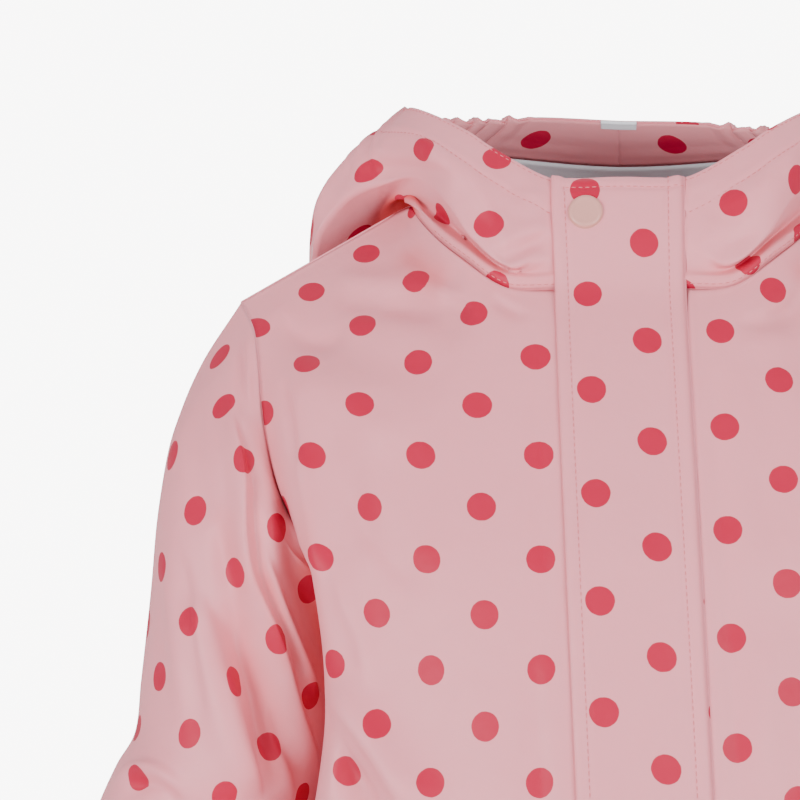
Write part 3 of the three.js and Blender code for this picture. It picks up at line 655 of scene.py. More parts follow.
hoodSettings = {
    "neckPoint": 141,
    "centreBack": 262,
    "standFront": 5,
    "standBack": 11,
    "swellFront": 1.5,
    "swellBack": 17,
    "profileSteps": (4, 9, 12, 12, 10, 13),
    "crispFrom": 44,
    "crispTo": 196,
    "gatherHeight": 2.2,
}
armhole = table(
    ("down", "front", "back"),
    [
        (0, (168.5, 6, -43), (168.5, 6, -43)),
        (25, (160.5, -14, -57), (163, 24, -57)),
        (41, (157.5, -24, -70), (159, 35, -71)),
        (77, (153, -40, -101), (152, 47, -101)),
        (108, (145.5, -48, -130), (143, 51, -130)),
        (133, (134, -43, -151), (132, 43, -151)),
        (157, (123, -23, -158), (121, 23, -158)),
        (181, (113, 0, -160), (113, 0, -160)),
    ],
)
armholeLength = 181
hemDown = 492
frontSections = table(
    ("down", "centre", "corner", "flank", "side"),
    [
        (41, (-74, -69), (137, -37, -69), (150, -30), None),
        (77, (-87, -101), (137, -57, -101), (147, -49), None),
        (108, (-96, -130), (137, -67.5, -130), (143, -61), None),
        (133, (-102, -150), (135, -73.5, -150), (138, -60), None),
        (157, (-104.5, -159), (133, -76.5, -159), (133, -50), None),
        (181, (-106.5, -168), (131, -78, -168), (124, -42), None),
        (222, (-113, -203), (126, -82, -203), (117, -42), (112, -201)),
        (267, (-119, -246), (123, -86, -246), (132, -60), (115, -245)),
        (322, (-124, -300), (130, -84, -300), (142, -58), (129, -300)),
        (402, (-129, -385), (138, -80, -385), (154, -50), (149, -385)),
        (492, (-133, -470), (147, -79, -470), (170, -46), (168, -470)),
    ],
)
backSections = table(
    ("down", "centre", "corner", "flank", "side"),
    [
        (41, (71, -69), (130, 47, -69), (148, 43), None),
        (77, (77, -101), (128, 58, -101), (144, 54), None),
        (108, (81, -130), (125, 63, -130), (140, 58), None),
        (133, (83, -150), (122, 65, -150), (132, 56), None),
        (157, (84, -159), (120, 66, -159), (126, 48), None),
        (181, (85, -168), (117, 67, -168), (116, 36), None),
        (222, (88, -203), (112, 69, -203), (112, 36), (112, -201)),
        (267, (92, -246), (113, 71, -246), (115, 38), (115, -245)),
        (322, (98, -300), (121, 70, -300), (130, 38), (129, -300)),
        (402, (107, -385), (130, 68, -385), (150, 40), (149, -385)),
        (492, (115, -470), (139, 68, -470), (169, 40), (168, -470)),
    ],
)
sleeveSections = table(
    ("along", "outer", "inner", "depth"),
    [
        (0, (168.5, -43), (113, -160), (-46, 50)),
        (30, (186, -71), (116, -168), (-53, 52)),
        (62, (197, -100.5), (117, -179), (-56, 51)),
        (98, (203.5, -136), (118, -193), (-57, 49)),
        (137, (207, -174), (120, -210), (-57, 47)),
        (176, (211, -212), (123, -229), (-57, 46)),
        (198, (213.5, -234), (126, -243), (-57, 45)),
        (216, (221.5, -248), (129, -257), (-57, 44)),
        (240, (230.5, -268), (134, -278), (-55, 42)),
        (285, (245.5, -310), (151, -327), (-50, 37)),
        (330, (260, -352), (175, -375), (-44, 31)),
        (356, (268, -375), (188, -400), (-41, 27)),
    ],
)
flapShape = {"edge": -26.8, "seam": 27.8, "topFlare": 1.8, "lift": 0.5, "leanStart": -46, "lean": 0.043}
underlap = 18
shoulderCorner = 0.62
chestRoundness = 2.2
clothWall = 1.2


def column(rows, key, name, t):
    return through([row[key] for row in rows], [row[name] for row in rows], t)


def leanAt(z):
    return flapShape["lean"] * np.maximum(0, flapShape["leanStart"] - np.asarray(z, float))


def hoodColumns(alongs):
    # Rows run from the face edge down to the neck seam. Negative places are on the wearer's right.
    settings = hoodSettings
    alongs = np.asarray(alongs, float)
    side = np.where(alongs < 0, -1.0, 1.0)
    a = np.abs(alongs)
    keyed = {name: column(hoodStations, "along", name, a) for name in ("seam", "tuck", "fold", "outer", "edge")}
    back = ease((a - settings["neckPoint"]) / (settings["centreBack"] - settings["neckPoint"]))[:, None]
    rise = settings["standFront"] + (settings["standBack"] - settings["standFront"]) * back
    stand = keyed["seam"] + np.concatenate([0 * back, -1 + 4 * back, rise], axis=1)
    outer = keyed["outer"]
    outward = unit(np.stack([outer[:, 0] * ease(a / 48), outer[:, 1], np.full(len(a), 6.0)], axis=1))
    swell = settings["swellFront"] + (settings["swellBack"] - settings["swellFront"]) * back
    crown = outer + (keyed["edge"] - outer) * 0.55 + outward * swell
    inside = [keyed["seam"], stand, keyed["tuck"], keyed["fold"]]
    profiles = np.stack([*inside, outer, crown, keyed["edge"]], axis=1)
    grid = []
    for profile, place in zip(profiles, a):
        chords = np.sqrt(np.linalg.norm(np.diff(profile, axis=0), axis=1))
        keys = np.concatenate([[0], np.cumsum(chords)])
        places = [0.0]
        for k, steps in enumerate(settings["profileSteps"]):
            places += evenly(keys[k], keys[k + 1], steps)
        places = np.array(places)
        soft = through(keys, profile, places)
        under = places <= keys[3]
        upper = through(keys[:4], profile[:4], places[under])
        crisp = np.concatenate([upper, through(keys[3:], profile[3:], places[~under])])
        share = ease((place - settings["crispFrom"]) / 14) * ease((settings["crispTo"] - place) / 22)
        grid.append(soft + (crisp - soft) * share)
    grid = np.array(grid) * np.stack([side, 1 + 0 * side, 1 + 0 * side], axis=1)[:, None]
    return np.transpose(grid, (1, 0, 2))[::-1]


def sideEdge(sections, face, downs):
    rows = [row for row in sections if row["side"]]
    start = armhole[-1][face]
    keys = [armholeLength] + [row["down"] for row in rows]
    values = [(start[0], start[2])] + [row["side"] for row in rows]
    upper = column(armhole, "down", face, downs)
    lower = through(keys, values, downs)
    lower = np.stack([lower[:, 0], 0 * downs, lower[:, 1]], axis=1)
    return np.where((downs <= armholeLength)[:, None], upper, lower)


def bodyHalf(sections, face, alongs, fixed, startX, leanSide, shoulderColumns, sideColumns):
    tops = hoodColumns(alongs)[-1]
    point = hoodColumns([hoodSettings["neckPoint"]])[-1, 0]
    shoulder = np.array(armhole[0][face], float)
    topCorner = point + (shoulder - point) * shoulderCorner
    extra = [point + (topCorner - point) * k / shoulderColumns for k in range(1, shoulderColumns + 1)]
    tops = np.concatenate([tops, extra])
    count = len(tops) - 1 - fixed
    values = [tops]
    for section in sections:
        lean = leanSide * leanAt(section["centre"][1])
        start = startX + lean
        spread = start + (section["corner"][0] - start) * np.arange(count + 1) / count
        x = np.concatenate([np.array(alongs[:fixed]) + lean, spread])
        share = np.abs(x) / section["corner"][0]
        y = section["centre"][0] + (section["corner"][1] - section["centre"][0]) * share**chestRoundness
        z = section["centre"][1] + (section["corner"][2] - section["centre"][1]) * share
        values.append(np.stack([x, y, z], axis=1))
    keys = [0] + [row["down"] for row in sections]
    main = np.einsum("dk,kjc->djc", basis(keys, downs), np.array(values))
    corner = through(keys, [topCorner] + [row["corner"] for row in sections], downs)
    topFlank = (topCorner + (shoulder - topCorner) * 0.5)[:2]
    flank = through(keys, [topFlank] + [row["flank"] for row in sections], downs)
    edge = sideEdge(sections, face, downs)
    middle = np.concatenate([flank, (corner[:, 2:] + edge[:, 2:]) / 2], axis=1)
    side = []
    for k in range(1, sideColumns + 1):
        t = k / sideColumns
        curved = (corner * (1 - t) + middle * t) * (1 - t) + (middle * (1 - t) + edge * t) * t
        direct = corner * (1 - t) + edge * t
        bend = ease(downs / 41)[:, None]
        side.append(direct * (1 - bend) + curved * bend)
    grid = np.concatenate([main, np.transpose(np.array(side), (1, 0, 2))], axis=1)
    return smoothRows(grid, 24)


print("hood")
neckPlace = hoodSettings["neckPoint"]
fineNeck, fineBack = 7, 8
foldRow = sum(hoodSettings["profileSteps"][3:])
frontLeftAlongs = finer([flapShape["seam"], *evenly(flapShape["seam"], neckPlace, 7)], fineNeck)
frontRightAlongs = np.concatenate(
    [
        [-underlap, -8, 4, 16],
        finer([-flapShape["edge"], *evenly(-flapShape["edge"], neckPlace, 7)], fineNeck),
    ]
)
backAlongs = finer([neckPlace, *evenly(neckPlace, hoodSettings["centreBack"], 9)], fineBack)


def gathered(grid, alongs):
    # The elastic stretches of the hood edge draw the cloth into small pleats.
    a = np.abs(alongs)
    zone = ease((a - 128) / 14) * ease((226 - a) / 22)
    turns = 2 * math.pi * a
    wave = np.sin(turns / 8.3) + 0.55 * np.sin(turns / 5.1 + 1.3) + 0.5 * np.sin(turns / 13.7)
    down = arcDown(grid)
    fade = np.exp(-((down / 20) ** 2)) + 0.35 * np.exp(-(((down - 26) / 20) ** 2))
    normals = gridNormals(grid)
    height = hoodSettings["gatherHeight"] * 0.55 * zone * wave * fade
    return grid + normals * height[..., None], height


hoodFolds = [
    foldLine("low crease", [(-54, -35), (-45.9, -29.5), (-38.1, -25.5), (-28, -22)], (2.2, 4), -2.8),
    foldLine("low band", [(-50, -39), (-39.9, -34.5), (-28, -31)], (3, 4), 2.0),
    foldLine("over the low crease", [(-52, -27), (-42, -21), (-30, -16)], (4, 5), 1.8),
    foldLine("front dent", [(-41.5, 6), (-45.8, -1), (-49.7, -7.9), (-51, -16)], (4, 3), -1.6),
    foldLine("front swell", [(-34, 0), (-36, -8), (-37, -16)], (4, 4), 1.2),
    foldLine("fold edge roll", [(-81, 4), (-76, -3), (-68, -16), (-60, -27)], (3.5, 2), 1.4),
    foldLine("beside the fold edge", [(-72, 8), (-66, -2), (-58, -16), (-52, -24)], (4, 6), -1.3),
    foldLine("top run", [(-117, 16), (-104, 14), (-90, 12), (-77, 7), (-70, 0)], (2.6, 6), -2.0),
    foldLine("over the top run", [(-116, 22), (-100, 20), (-84, 16), (-72, 8)], (4, 5), 1.4),
    foldLine("lobe", [(-118, 10), (-106, 21), (-96, 28)], (5, 7), 1.2),
    foldLine("lobe edge", [(-128, -2), (-118, 6), (-104, 9)], (5, 3), 1.0),
    foldLine("right low crease", [(32, -34), (41.2, -28.6), (49.8, -24.4), (62, -17.4)], (3, 5), -1.8),
    foldLine("right soft", [(34.6, 0.4), (39.7, -8.2), (41.3, -19)], (5, 5), -1.2),
    foldLine("right ridge", [(36, -16), (54, -6), (70, 6)], (5, 7), 1.2),
    foldLine("right side crease", [(70, 12), (86, 18), (104, 16)], (4, 8), -1.8),
    foldLine("bag fold", [(-90, -60), (-40, -96), (20, -104)], (9, 14), -3.0, 1),
    foldLine("bag fold right", [(96, -50), (60, -92), (10, -122)], (8, 14), -2.6, 1),
    foldLine("bag ridge", [(-70, -20), (-30, -40), (30, -36), (80, -14)], (12, 12), 2.4, 1),
]


def hoodHalf(alongs):
    # With the hem's topstitching pressed in. The back rim is raised a little on the wearer's right afterwards,
    # by tilted.
    every = np.concatenate([alongs, backAlongs[1:]])
    grid, gather = gathered(hoodColumns(every), every)
    down = arcDown(grid)
    groove = 0.3 * np.exp(-(((down - 15.2) / 2.4) ** 2)) - 0.5 * np.exp(-(((down - 18.4) / 1.1) ** 2))
    return grid + gridNormals(grid) * groove[..., None], gather, every


def tilted(grid):
    near = np.exp(-((arcDown(grid) / 30) ** 2)) * ease((grid[..., 1] - 12) / 26)
    grid = grid.copy()
    grid[..., 2] -= 2.6 * np.clip(grid[..., 0] / 62, -1, 1) * near
    return grid


hoodLeftRaw, hoodLeftGather, hoodLeftAlongs = hoodHalf(frontLeftAlongs)
hoodRightRaw, hoodRightGather, hoodRightAlongs = hoodHalf(frontRightAlongs)
hoodRightGather, hoodRightAlongs = hoodRightGather[:, ::-1], hoodRightAlongs[::-1]
hoodLeftRaw, hoodRightRaw = tilted(hoodLeftRaw), tilted(flip(hoodRightRaw))
hoodLeftGrid = folded(hoodLeftRaw, hoodFolds, ("left", "right"))
hoodRightGrid = folded(hoodRightRaw, hoodFolds, ("left", "right"))


def tuckPaintedShade(alongs):
    # Painted shade: the cloth between the fold and the neck seam lies in a tunnel at the shoulders, where the
    # light is low and red, so its colour is painted darker and redder there.
    steps = hoodSettings["profileSteps"]
    row = np.arange(sum(steps) + 1.0)
    down = ease((row - foldRow - 5) / 9)
    a = np.abs(alongs)
    around = 0.12 + 0.88 * ease((a - 108) / 18) * ease((200 - a) / 20)
    return down[:, None] * around[None]


def gatherShade(height):
    # Painted shade: the hollows of the small pleats are painted a little redder.
    return 0.4 * np.clip((-0.6 - height) / 2.0, 0, 1)


def offsetIn(grid, by, closed=False):
    return grid - gridNormals(grid, closed) * by


def addWall(name, outer, inner, pattern, facts, looks, **more):
    piece = gridMesh(name, outer, inner, pattern, facts, **more)
    for look in looks:
        piece.data.materials.append(look)
    return piece


def finishCloth(piece, node):
    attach(piece, "root")
    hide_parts(node)


for name, grid, gather, anchor, seams, places in (
    ("hood_left", hoodLeftGrid, hoodLeftGather, 6, ("low", "right"), hoodLeftAlongs),
    ("hood_right", hoodRightGrid, hoodRightGather, len(hoodRightAlongs) - 12, ("low", "left"), hoodRightAlongs),
):
    pattern = clothPattern(grid, 6, anchor, name)
    # How much painted shade darkens and reddens the hood in its tunnel and in the hollows of the pleats.
    depth = np.clip(tuckPaintedShade(places) + gatherShade(gather), 0, 1)
    facts = clothFacts(grid, depth, seams)
    inner = offsetIn(grid, clothWall)
    piece = addWall(name + "_cloth", grid, inner, pattern, facts, (shell, lining), pinkRows=(7, foldRow))
    finishCloth(piece, name)

print("body")
armholeDowns = finer(np.linspace(0, armholeLength, 11), 9)
downs = np.concatenate([armholeDowns, np.linspace(armholeLength, hemDown, 111)[1:]])
bodyFolds = [
    foldLine("beside the neck", [(-104, -40), (-60, -66)], 9, -2.5, -1, True),
    foldLine("under the hood", [(-156, -52), (-66, -88)], 11, -3.5, -1, True),
    foldLine("shoulder to chest", [(-150, -74), (-84, -116)], 10, 2.5, -1, True),
    foldLine("chest to side", [(-128, -86), (-112, -180)], 12, -2.5, -1, True),
    foldLine("waist pull", [(-122, -206), (-70, -275)], 10, 4.5, -1, True),
    foldLine("below the pull", [(-118, -236), (-86, -300)], 9, -4, -1, True),
    foldLine("skirt front", [(-98, -310), (-116, -475)], 15, 5, -1, True),
    foldLine("skirt middle", [(-66, -350), (-72, -475)], 12, -4, -1, True),
    foldLine("back shoulder", [(-140, -60), (-60, -150)], 14, -4, 1, True),
    foldLine("back waist", [(-98, -230), (-30, -300)], 13, 3.5, 1, True),
    foldLine("back skirt", [(-84, -300), (-100, -475)], 18, 6, 1, True),
    foldLine("back middle", [(-30, -330), (-34, -475)], 15, -4.5, 1, True),
]
fineBodyFolds = [
    foldLine("below the neck", [(-95, -18), (-88, -28.7), (-77.5, -37.9), (-64, -44)], (7, 3), -3.25),
    foldLine(
        "under the collar run",
        [(-130, -38), (-116.9, -43.8), (-105.9, -46.2), (-90.8, -47.9), (-78.2, -49.9), (-66, -55)],
        (2.6, 7), -3.36,
    ),
    foldLine("collar run", [(-128, -33), (-112, -38), (-96, -40), (-82, -42)], (5, 3), 2.24),
    foldLine("small crease", [(-78, -44), (-69.9, -49.3), (-62, -56)], (1.8, 4), -1.68),
    foldLine("small crease in", [(-55, -46.5), (-47.7, -52.4), (-38, -58)], (1.8, 4), -1.5),
    foldLine("shoulder dip", [(-152, -49.3), (-142.1, -58.1), (-131.6, -61.7), (-116, -60)], (3, 6), -2.7),
    foldLine(
        "armhole bulge",
        [(-139, -104), (-134.5, -122.8), (-131.5, -137.4), (-128.4, -154.1), (-126, -176)],
        (5, 3), 1.8,
    ),
    foldLine("armhole side", [(-146, -80), (-142, -93.4), (-139.5, -108), (-136, -124)], (2.4, 2.4), -1.8),
    foldLine("side ridge", [(-122, -154), (-114.6, -177), (-107.5, -193.6), (-101, -220)], (6, 4), 1.82),
    foldLine("soft middle", [(-120, -118), (-108.4, -143.7), (-95, -160.4), (-78, -176)], (7, 5), -1.92),
    foldLine(
        "bulge rim",
        [(-124, -206), (-114.5, -221), (-107.1, -230.2), (-99.9, -240.3), (-93.2, -251), (-84, -268)],
        (7, 3), 3.4,
    ),
    foldLine(
        "bulge below",
        [(-129, -212), (-120.1, -228.8), (-113.8, -241), (-105, -256), (-96, -272)],
        (3, 7), -3.4,
    ),
    foldLine("side pleat", [(-120, -222), (-117.8, -238), (-119.6, -262)], (3, 4), 2.2),
    foldLine("flap pull", [(-35, -56), (-33, -102.3), (-31.5, -143.9), (-30, -190)], (3, 6), -1.17),
    foldLine("flap pull low", [(-36, -190), (-33, -230), (-32, -290)], (3, 7), -0.8),
    foldLine("right neck", [(84, -38), (68, -56), (46, -63)], (5, 3), -2.34),
    foldLine("right swell", [(100, -44), (74, -64), (42, -74)], (6, 8), 1.2),
    foldLine("right chest", [(66, -86), (62, -120), (58, -160)], (8, 8), -1.0),
    foldLine("right waist", [(64, -180), (58, -220), (60, -262)], (9, 7), 1.0),
    foldLine("left of the seam", [(37, -60), (40, -120), (44, -200), (49, -290)], (5, 3), -0.8),
]


# Painted shade: where light that has come through or off the cloth would make it glow red in the folds, the
# colour is painted darker and redder. Lines like the folds, with how strongly in place of how high.
bodyPaintedShade = [
    foldLine("below the neck", [(-96, -20), (-86, -32), (-72, -44)], (7, 7), 0.42),
    foldLine("beside the neck", [(96, -20), (86, -32), (72, -44)], (7, 7), 0.4),
    foldLine("beside the arm", [(-134, -120), (-130, -170), (-124, -214), (-126, -262)], (4, 8), 0.3),
]


def bodyPiece(name, grid, face, keep, seams, anchorColumn, node):
    folds = bodyFolds + fineBodyFolds if face < 0 else bodyFolds
    grid = folded(grid, folds, keep)
    pattern = clothPattern(grid, rowAt(grid, anchorColumn, -161), anchorColumn, node)
    # The painted shade in the body's folds goes to the material together with the seams.
    facts = clothFacts(grid, np.clip(foldOffset(grid, gridNormals(grid), bodyPaintedShade), 0, 1), seams)
    piece = addWall(name, grid, offsetIn(grid, clothWall), pattern, facts, (shell, lining))
    finishCloth(piece, node)
    return grid


commonBody = {"shoulderColumns": 4 * fineNeck, "sideColumns": 34}
frontLeftRaw = bodyHalf(frontSections, "front", frontLeftAlongs, 0, flapShape["seam"], 1, **commonBody)
frontRightRaw = bodyHalf(frontSections, "front", frontRightAlongs, 4, -flapShape["edge"], -1, **commonBody)
frontRightRaw = flip(frontRightRaw)
backHalf = bodyHalf(backSections, "back", backAlongs[::-1], 0, 0.0, 0, **commonBody)
backRaw = np.concatenate([backHalf[:, ::-1], (backHalf * (-1, 1, 1))[:, 1:]], axis=1)
frontRightGrid = bodyPiece(
    "front_right_cloth", frontRightRaw, -1, ("top", "left", "right"), ("top", "left"),
    frontRightRaw.shape[1] - 20, "front_right",
)
frontLeftGrid = bodyPiece(
    "front_left_cloth", frontLeftRaw, -1, ("top", "left", "right"), ("top", "left", "right"),
    16, "front_left",
)
backGrid = bodyPiece(
    "back_cloth", backRaw, 1, ("top", "left", "right"), ("top", "left", "right"),
    backRaw.shape[1] // 2, "back",
)

print("sleeves")
sleeveFolds = [
    foldLine("long crease", [(-170, -70), (-128, -232)], 7, 4.5),
    foldLine("hollow inside it", [(-148, -140), (-116, -226)], 7, -5),
    foldLine("middle ridge", [(-186, -168), (-158, -268)], 8, 3.5),
    foldLine("middle hollow", [(-172, -172), (-142, -250)], 9, -5),
    foldLine("outer crease", [(-196, -118), (-178, -236)], 8, 2.5),
    foldLine("elbow", [(-222, -252), (-150, -284)], 7, -4.5),
    foldLine("forearm ridge", [(-232, -282), (-176, -318)], 9, 3.5),
    foldLine("forearm hollow", [(-240, -312), (-180, -350)], 8, -3.5),
    foldLine("back elbow", [(-220, -245), (-132, -262)], 10, -4.5, 1),
    foldLine("back upper", [(-178, -90), (-134, -200)], 11, 4, 1),
    foldLine("back lower", [(-228, -290), (-178, -352)], 10, 3.5, 1),
]
fineSleeveFolds = [
    foldLine(
        "shoulder crease",
        [(-166, -55), (-161.5, -69.7), (-160.6, -84), (-158.5, -98)],
        (1.6, 3.5), 2.0,
    ),
    foldLine("shoulder fold", [(-169, -56), (-165.4, -70.8), (-163.3, -86), (-160, -104)], (3, 2.4), -2.2),
    foldLine(
        "first crest",
        [(-169.6, -88), (-163.5, -112), (-160, -130), (-158.6, -150), (-156.4, -165), (-152.4, -176.5),
         (-145.8, -194), (-138.8, -220.5), (-132.7, -242.5), (-130, -264)],
        (1.5, 6), 4.6, taper=0.16,
    ),
    foldLine(
        "first valley",
        [(-160, -112), (-156, -130), (-154.2, -150), (-151.8, -166), (-147.5, -178), (-141, -196),
         (-134.6, -220)],
        (4.2, 1.6), -3.4, taper=0.2,
    ),
    foldLine(
        "left of the crest",
        [(-172, -140), (-169, -160), (-164, -180), (-158, -200)],
        (7, 4), -2.6, taper=0.3,
    ),
    foldLine(
        "inner strip",
        [(-153, -150), (-148.8, -165.2), (-141.3, -187), (-132.7, -209), (-127, -224)],
        (1.6, 4), 3.4, taper=0.25,
    ),
    foldLine(
        "inner valley",
        [(-146, -158), (-141.3, -176.4), (-135, -194), (-129.5, -210), (-126, -226)],
        (3, 2), -3.0, taper=0.25,
    ),
    foldLine(
        "cliff crest",
        [(-179, -172), (-172.6, -188), (-168.4, -200), (-163.8, -213), (-160, -228), (-156.6, -244),
         (-153, -262)],
        (1.6, 9), 4.2, taper=0.15,
    ),
    foldLine(
        "cliff valley",
        [(-172, -176), (-164.4, -196.1), (-157, -214), (-151.5, -232), (-147, -252)],
        (9, 4), -5.6, taper=0.25,
    ),
    foldLine(
        "low crest",
        [(-150, -216), (-147, -232), (-143.5, -248), (-140, -266)],
        (2, 4), 2.2, taper=0.25,
    ),
    foldLine(
        "soft valley",
        [(-191, -146), (-185, -169.6), (-181, -190), (-178, -212), (-175, -236)],
        (3, 7), -2.6,
    ),
    foldLine("soft crest", [(-198, -150), (-192, -176), (-188, -204), (-184, -236)], (5, 5), 1.6),
    foldLine("upper soft", [(-186, -84), (-184, -108), (-180, -132), (-174, -150)], (7, 6), -1.8),
    foldLine(
        "elbow arc",
        [(-224, -262), (-214, -250.5), (-203.5, -247.4), (-194, -250.2), (-184, -260)],
        (2.2, 5), 3.2,
    ),
    foldLine("elbow under", [(-214, -258), (-204, -254.6), (-194, -258), (-186, -266)], (4, 2.4), -3.2),
    foldLine("outer soft", [(-190, -86), (-196.2, -114.3), (-199.7, -140), (-201.3, -170)], (5, 6), 1.4),
]
# Painted shade on the sleeves, darker and redder in the folds: lines like the folds, with how strongly in place
# of how high.
sleevePaintedShade = [
    foldLine(
        "valley by the cliff",
        [(-166, -192), (-157, -214), (-151, -234), (-146, -260)],
        (8, 7), 0.3, taper=0.2,
    ),
    foldLine("left of the crest", [(-172, -130), (-165, -160), (-158, -184)], (8, 5), 0.2),
    foldLine("right of the crest", [(-152, -160), (-144, -184), (-136, -210)], (3, 6), 0.3, taper=0.2),
    foldLine(
        "next to the body",
        [(-134, -150), (-129, -180), (-124, -210), (-122, -240)],
        (5, 9), 0.75, taper=0.15,
    ),
]
sleeveStops = finer(
    [0, 15, 30, 46, 62, 80, 98, 117, 137, 157, 176, 192, 206, 220, 240, 262, 285, 308, 330, 356], 8
)


def sleeveRaw(count=280):
    even = np.linspace(0, 2 * math.pi, count + 1)
    turn = math.pi + even + 0.45 * (np.cos(even + 0.5) - math.cos(0.5))
    place = np.mod(turn, 2 * math.pi)
    share = (1 - np.cos(turn)) / 2
    wave = np.sin(turn)
    outer = column(sleeveSections, "along", "outer", sleeveStops)
    inner = column(sleeveSections, "along", "inner", sleeveStops)
    reach = column(sleeveSections, "along", "depth", sleeveStops)
    y = np.where(wave >= 0, wave * reach[:, 1:], -wave * reach[:, :1])
    flat = outer[:, None] + (inner - outer)[:, None] * share[None, :, None]
    oval = np.stack([flat[..., 0], y, flat[..., 1]], axis=-1)
    isBack = place <= math.pi
    down = armholeLength * np.where(isBack, place, 2 * math.pi - place) / math.pi
    atBack, atFront = (column(armhole, "down", face, down) for face in ("back", "front"))
    seam = np.where(isBack[:, None], atBack, atFront)
    settle = (1 - ease(sleeveStops / 75))[:, None, None]
    return oval + (seam - oval[0])[None] * settle


sleeveGrids = []
for name, side in (("sleeve_right", -1), ("sleeve_left", 1)):
    raw = flip(sleeveRaw())
    grid = raw[:, :-1]
    normals = gridNormals(grid, True)
    height = foldOffset(grid, normals, sleeveFolds + fineSleeveFolds) * ease(arcDown(grid) / 5)
    grid = grid + normals * height[..., None]
    grid = np.concatenate([grid, grid[:, :1]], axis=1)
    if side > 0:
        grid = flip(grid)
    pattern = clothPattern(grid, 60, grid.shape[1] // 2, name)
    facing = grid * (-side, 1, 1)
    # Painted shade in the sleeve's folds, for the material.
    sleeveShadePaint = foldOffset(facing, gridNormals(grid, True), sleevePaintedShade)
    facts = clothFacts(grid, np.clip(sleeveShadePaint, 0, 1), ("top",))
    sleeveGrids.append(grid)
    inner = grid[:, :-1] - gridNormals(grid[:, :-1], True) * clothWall
    inner = np.concatenate([inner, inner[:, :1]], axis=1)
    piece = addWall(name + "_cloth", grid, inner, pattern, facts, (shell, lining), closed=True)
    finishCloth(piece, name)

print("storm flap")


def flapBase():
    spread = np.arange(-36, 37, 3.0)
    collar = hoodColumns(spread)
    keys = [0] + [row["down"] for row in frontSections]
    values = [hoodColumns(spread)[-1]]
    for section in frontSections:
        x = spread + leanAt(section["centre"][1])
        share = np.abs(x) / section["corner"][0]
        y = section["centre"][0] + (section["corner"][1] - section["centre"][0]) * share**chestRoundness
        z = section["centre"][1] + (section["corner"][2] - section["centre"][1]) * share
        values.append(np.stack([x, y, z], axis=1))
    body = np.einsum("dk,kjc->djc", basis(keys, downs[1:]), np.array(values))
    rows = np.concatenate([collar, body])
    offsets = np.linspace(flapShape["edge"], flapShape["seam"], 46)
    out = []
    for row in rows:
        z = row[12, 2]
        flare = flapShape["topFlare"] * ease((z - flapShape["leanStart"]) / 48)
        xs = offsets + leanAt(z) + flare * np.minimum(0, offsets / flapShape["seam"])
        ys, zs = (np.interp(xs, row[:, 0], row[:, c]) for c in (1, 2))
        out.append(np.stack([xs, ys, zs], axis=1))
    return np.array(out), offsets


def evenDown(grid, times):
    # Takes out the step where the collar meets the fronts below the flap, and keeps both ends.
    return np.transpose(smoothRows(np.transpose(grid, (1, 0, 2)), times), (1, 0, 2))


flapRaw, flapOffsets = flapBase()
flapRaw = evenDown(flapRaw, 60)
flapNormals = gridNormals(flapRaw)
flapDown = arcDown(flapRaw)
fromLeft = flapOffsets - flapShape["edge"]
fromSeam = flapShape["seam"] - flapOffsets
stitchIn = {"left": 5.4, "top": 5.6, "seam": 7.6}


def bell(way, centre, width):
    return np.exp(-(((way - centre) / width) ** 2))


# The flap stands off the front. It swells between its edges and its stitching, and dips at the stitches.
lift = flapShape["lift"] + 1.1 + 0 * flapDown
lift = lift + (0.5 * bell(fromLeft, 2.6, 2.0) - 0.55 * bell(fromLeft, stitchIn["left"], 0.9))[None]
lift = lift + 0.4 * bell(flapDown, 2.6, 2.0) - 0.5 * bell(flapDown, stitchIn["top"], 0.9) * (fromLeft > 4)[None]
lift = lift + (0.55 * bell(fromSeam, 3.6, 2.4) - 0.5 * bell(fromSeam, stitchIn["seam"], 1.0))[None]
lift = lift - 1.4 * bell(fromSeam, 0, 1.3)[None]
ripple = 0.35 * np.sin(flapDown / 31 + 0.6) * np.sin(fromLeft / 54 * math.pi)[None]
ripple = ripple + 0.25 * np.sin(flapDown / 13.0) * bell(fromLeft, 0, 9)[None]
flapGrid = flapRaw + flapNormals * (lift + ripple)[..., None]
gap = flapShape["lift"] * np.where(fromSeam < 6, 0.1, 1.0)[None] + 0 * flapDown
flapInner = flapRaw + flapNormals * gap[..., None]
flapPattern = placed(np.stack([flapOffsets[None] + 0 * flapDown, -flapDown], axis=-1), "storm_flap")
flapFacts = clothFacts(flapGrid, 0 * flapDown, ("right",))
flap = addWall("storm_flap_cloth", flapGrid, flapInner, flapPattern, flapFacts, (shell, shell), bead=0.45)
finishCloth(flap, "storm_flap")

print("hood facing, lining and tab")


def innerStrip(grid, lengths, depth):
    lines = offsetIn(grid, depth)
    down = arcDown(lines)
    out = np.zeros((len(lengths), grid.shape[1], 3))
    for j in range(grid.shape[1]):
        for c in range(3):
            out[:, j, c] = np.interp(lengths, down[:, j], lines[:, j, c])
    return out


innerWall = {"facing": 0.7, "lining": 0.8, "gap": 0.3}
facingSize = {"from": 0.6, "to": 27.0, "rows": 20, "dots": 12.0, "bulge": 0.9}
facingLengths = np.linspace(facingSize["from"], facingSize["to"], facingSize["rows"])
for name, grid, along in (("hood_facing_right", hoodRightGrid, 11.3), ("hood_facing_left", hoodLeftGrid, -8.7)):
    strip = innerStrip(grid, facingLengths, clothWall + innerWall["gap"])
    bulge = facingSize["bulge"] * np.sin(np.linspace(0, math.pi, len(facingLengths)))[:, None, None]
    strip = strip - gridNormals(strip) * bulge
    down = arcDown(strip)
    pattern = np.stack([arcAcross(strip)[6:7] + 0 * down + along, facingSize["dots"] - down], axis=-1) * mm
    facts = clothFacts(strip, 0 * arcDown(strip), ("low",))
    looks = (facingLook, facingLook)
    piece = addWall(name + "_cloth", strip, offsetIn(strip, innerWall["facing"]), pattern, facts, looks)
    finishCloth(piece, name)

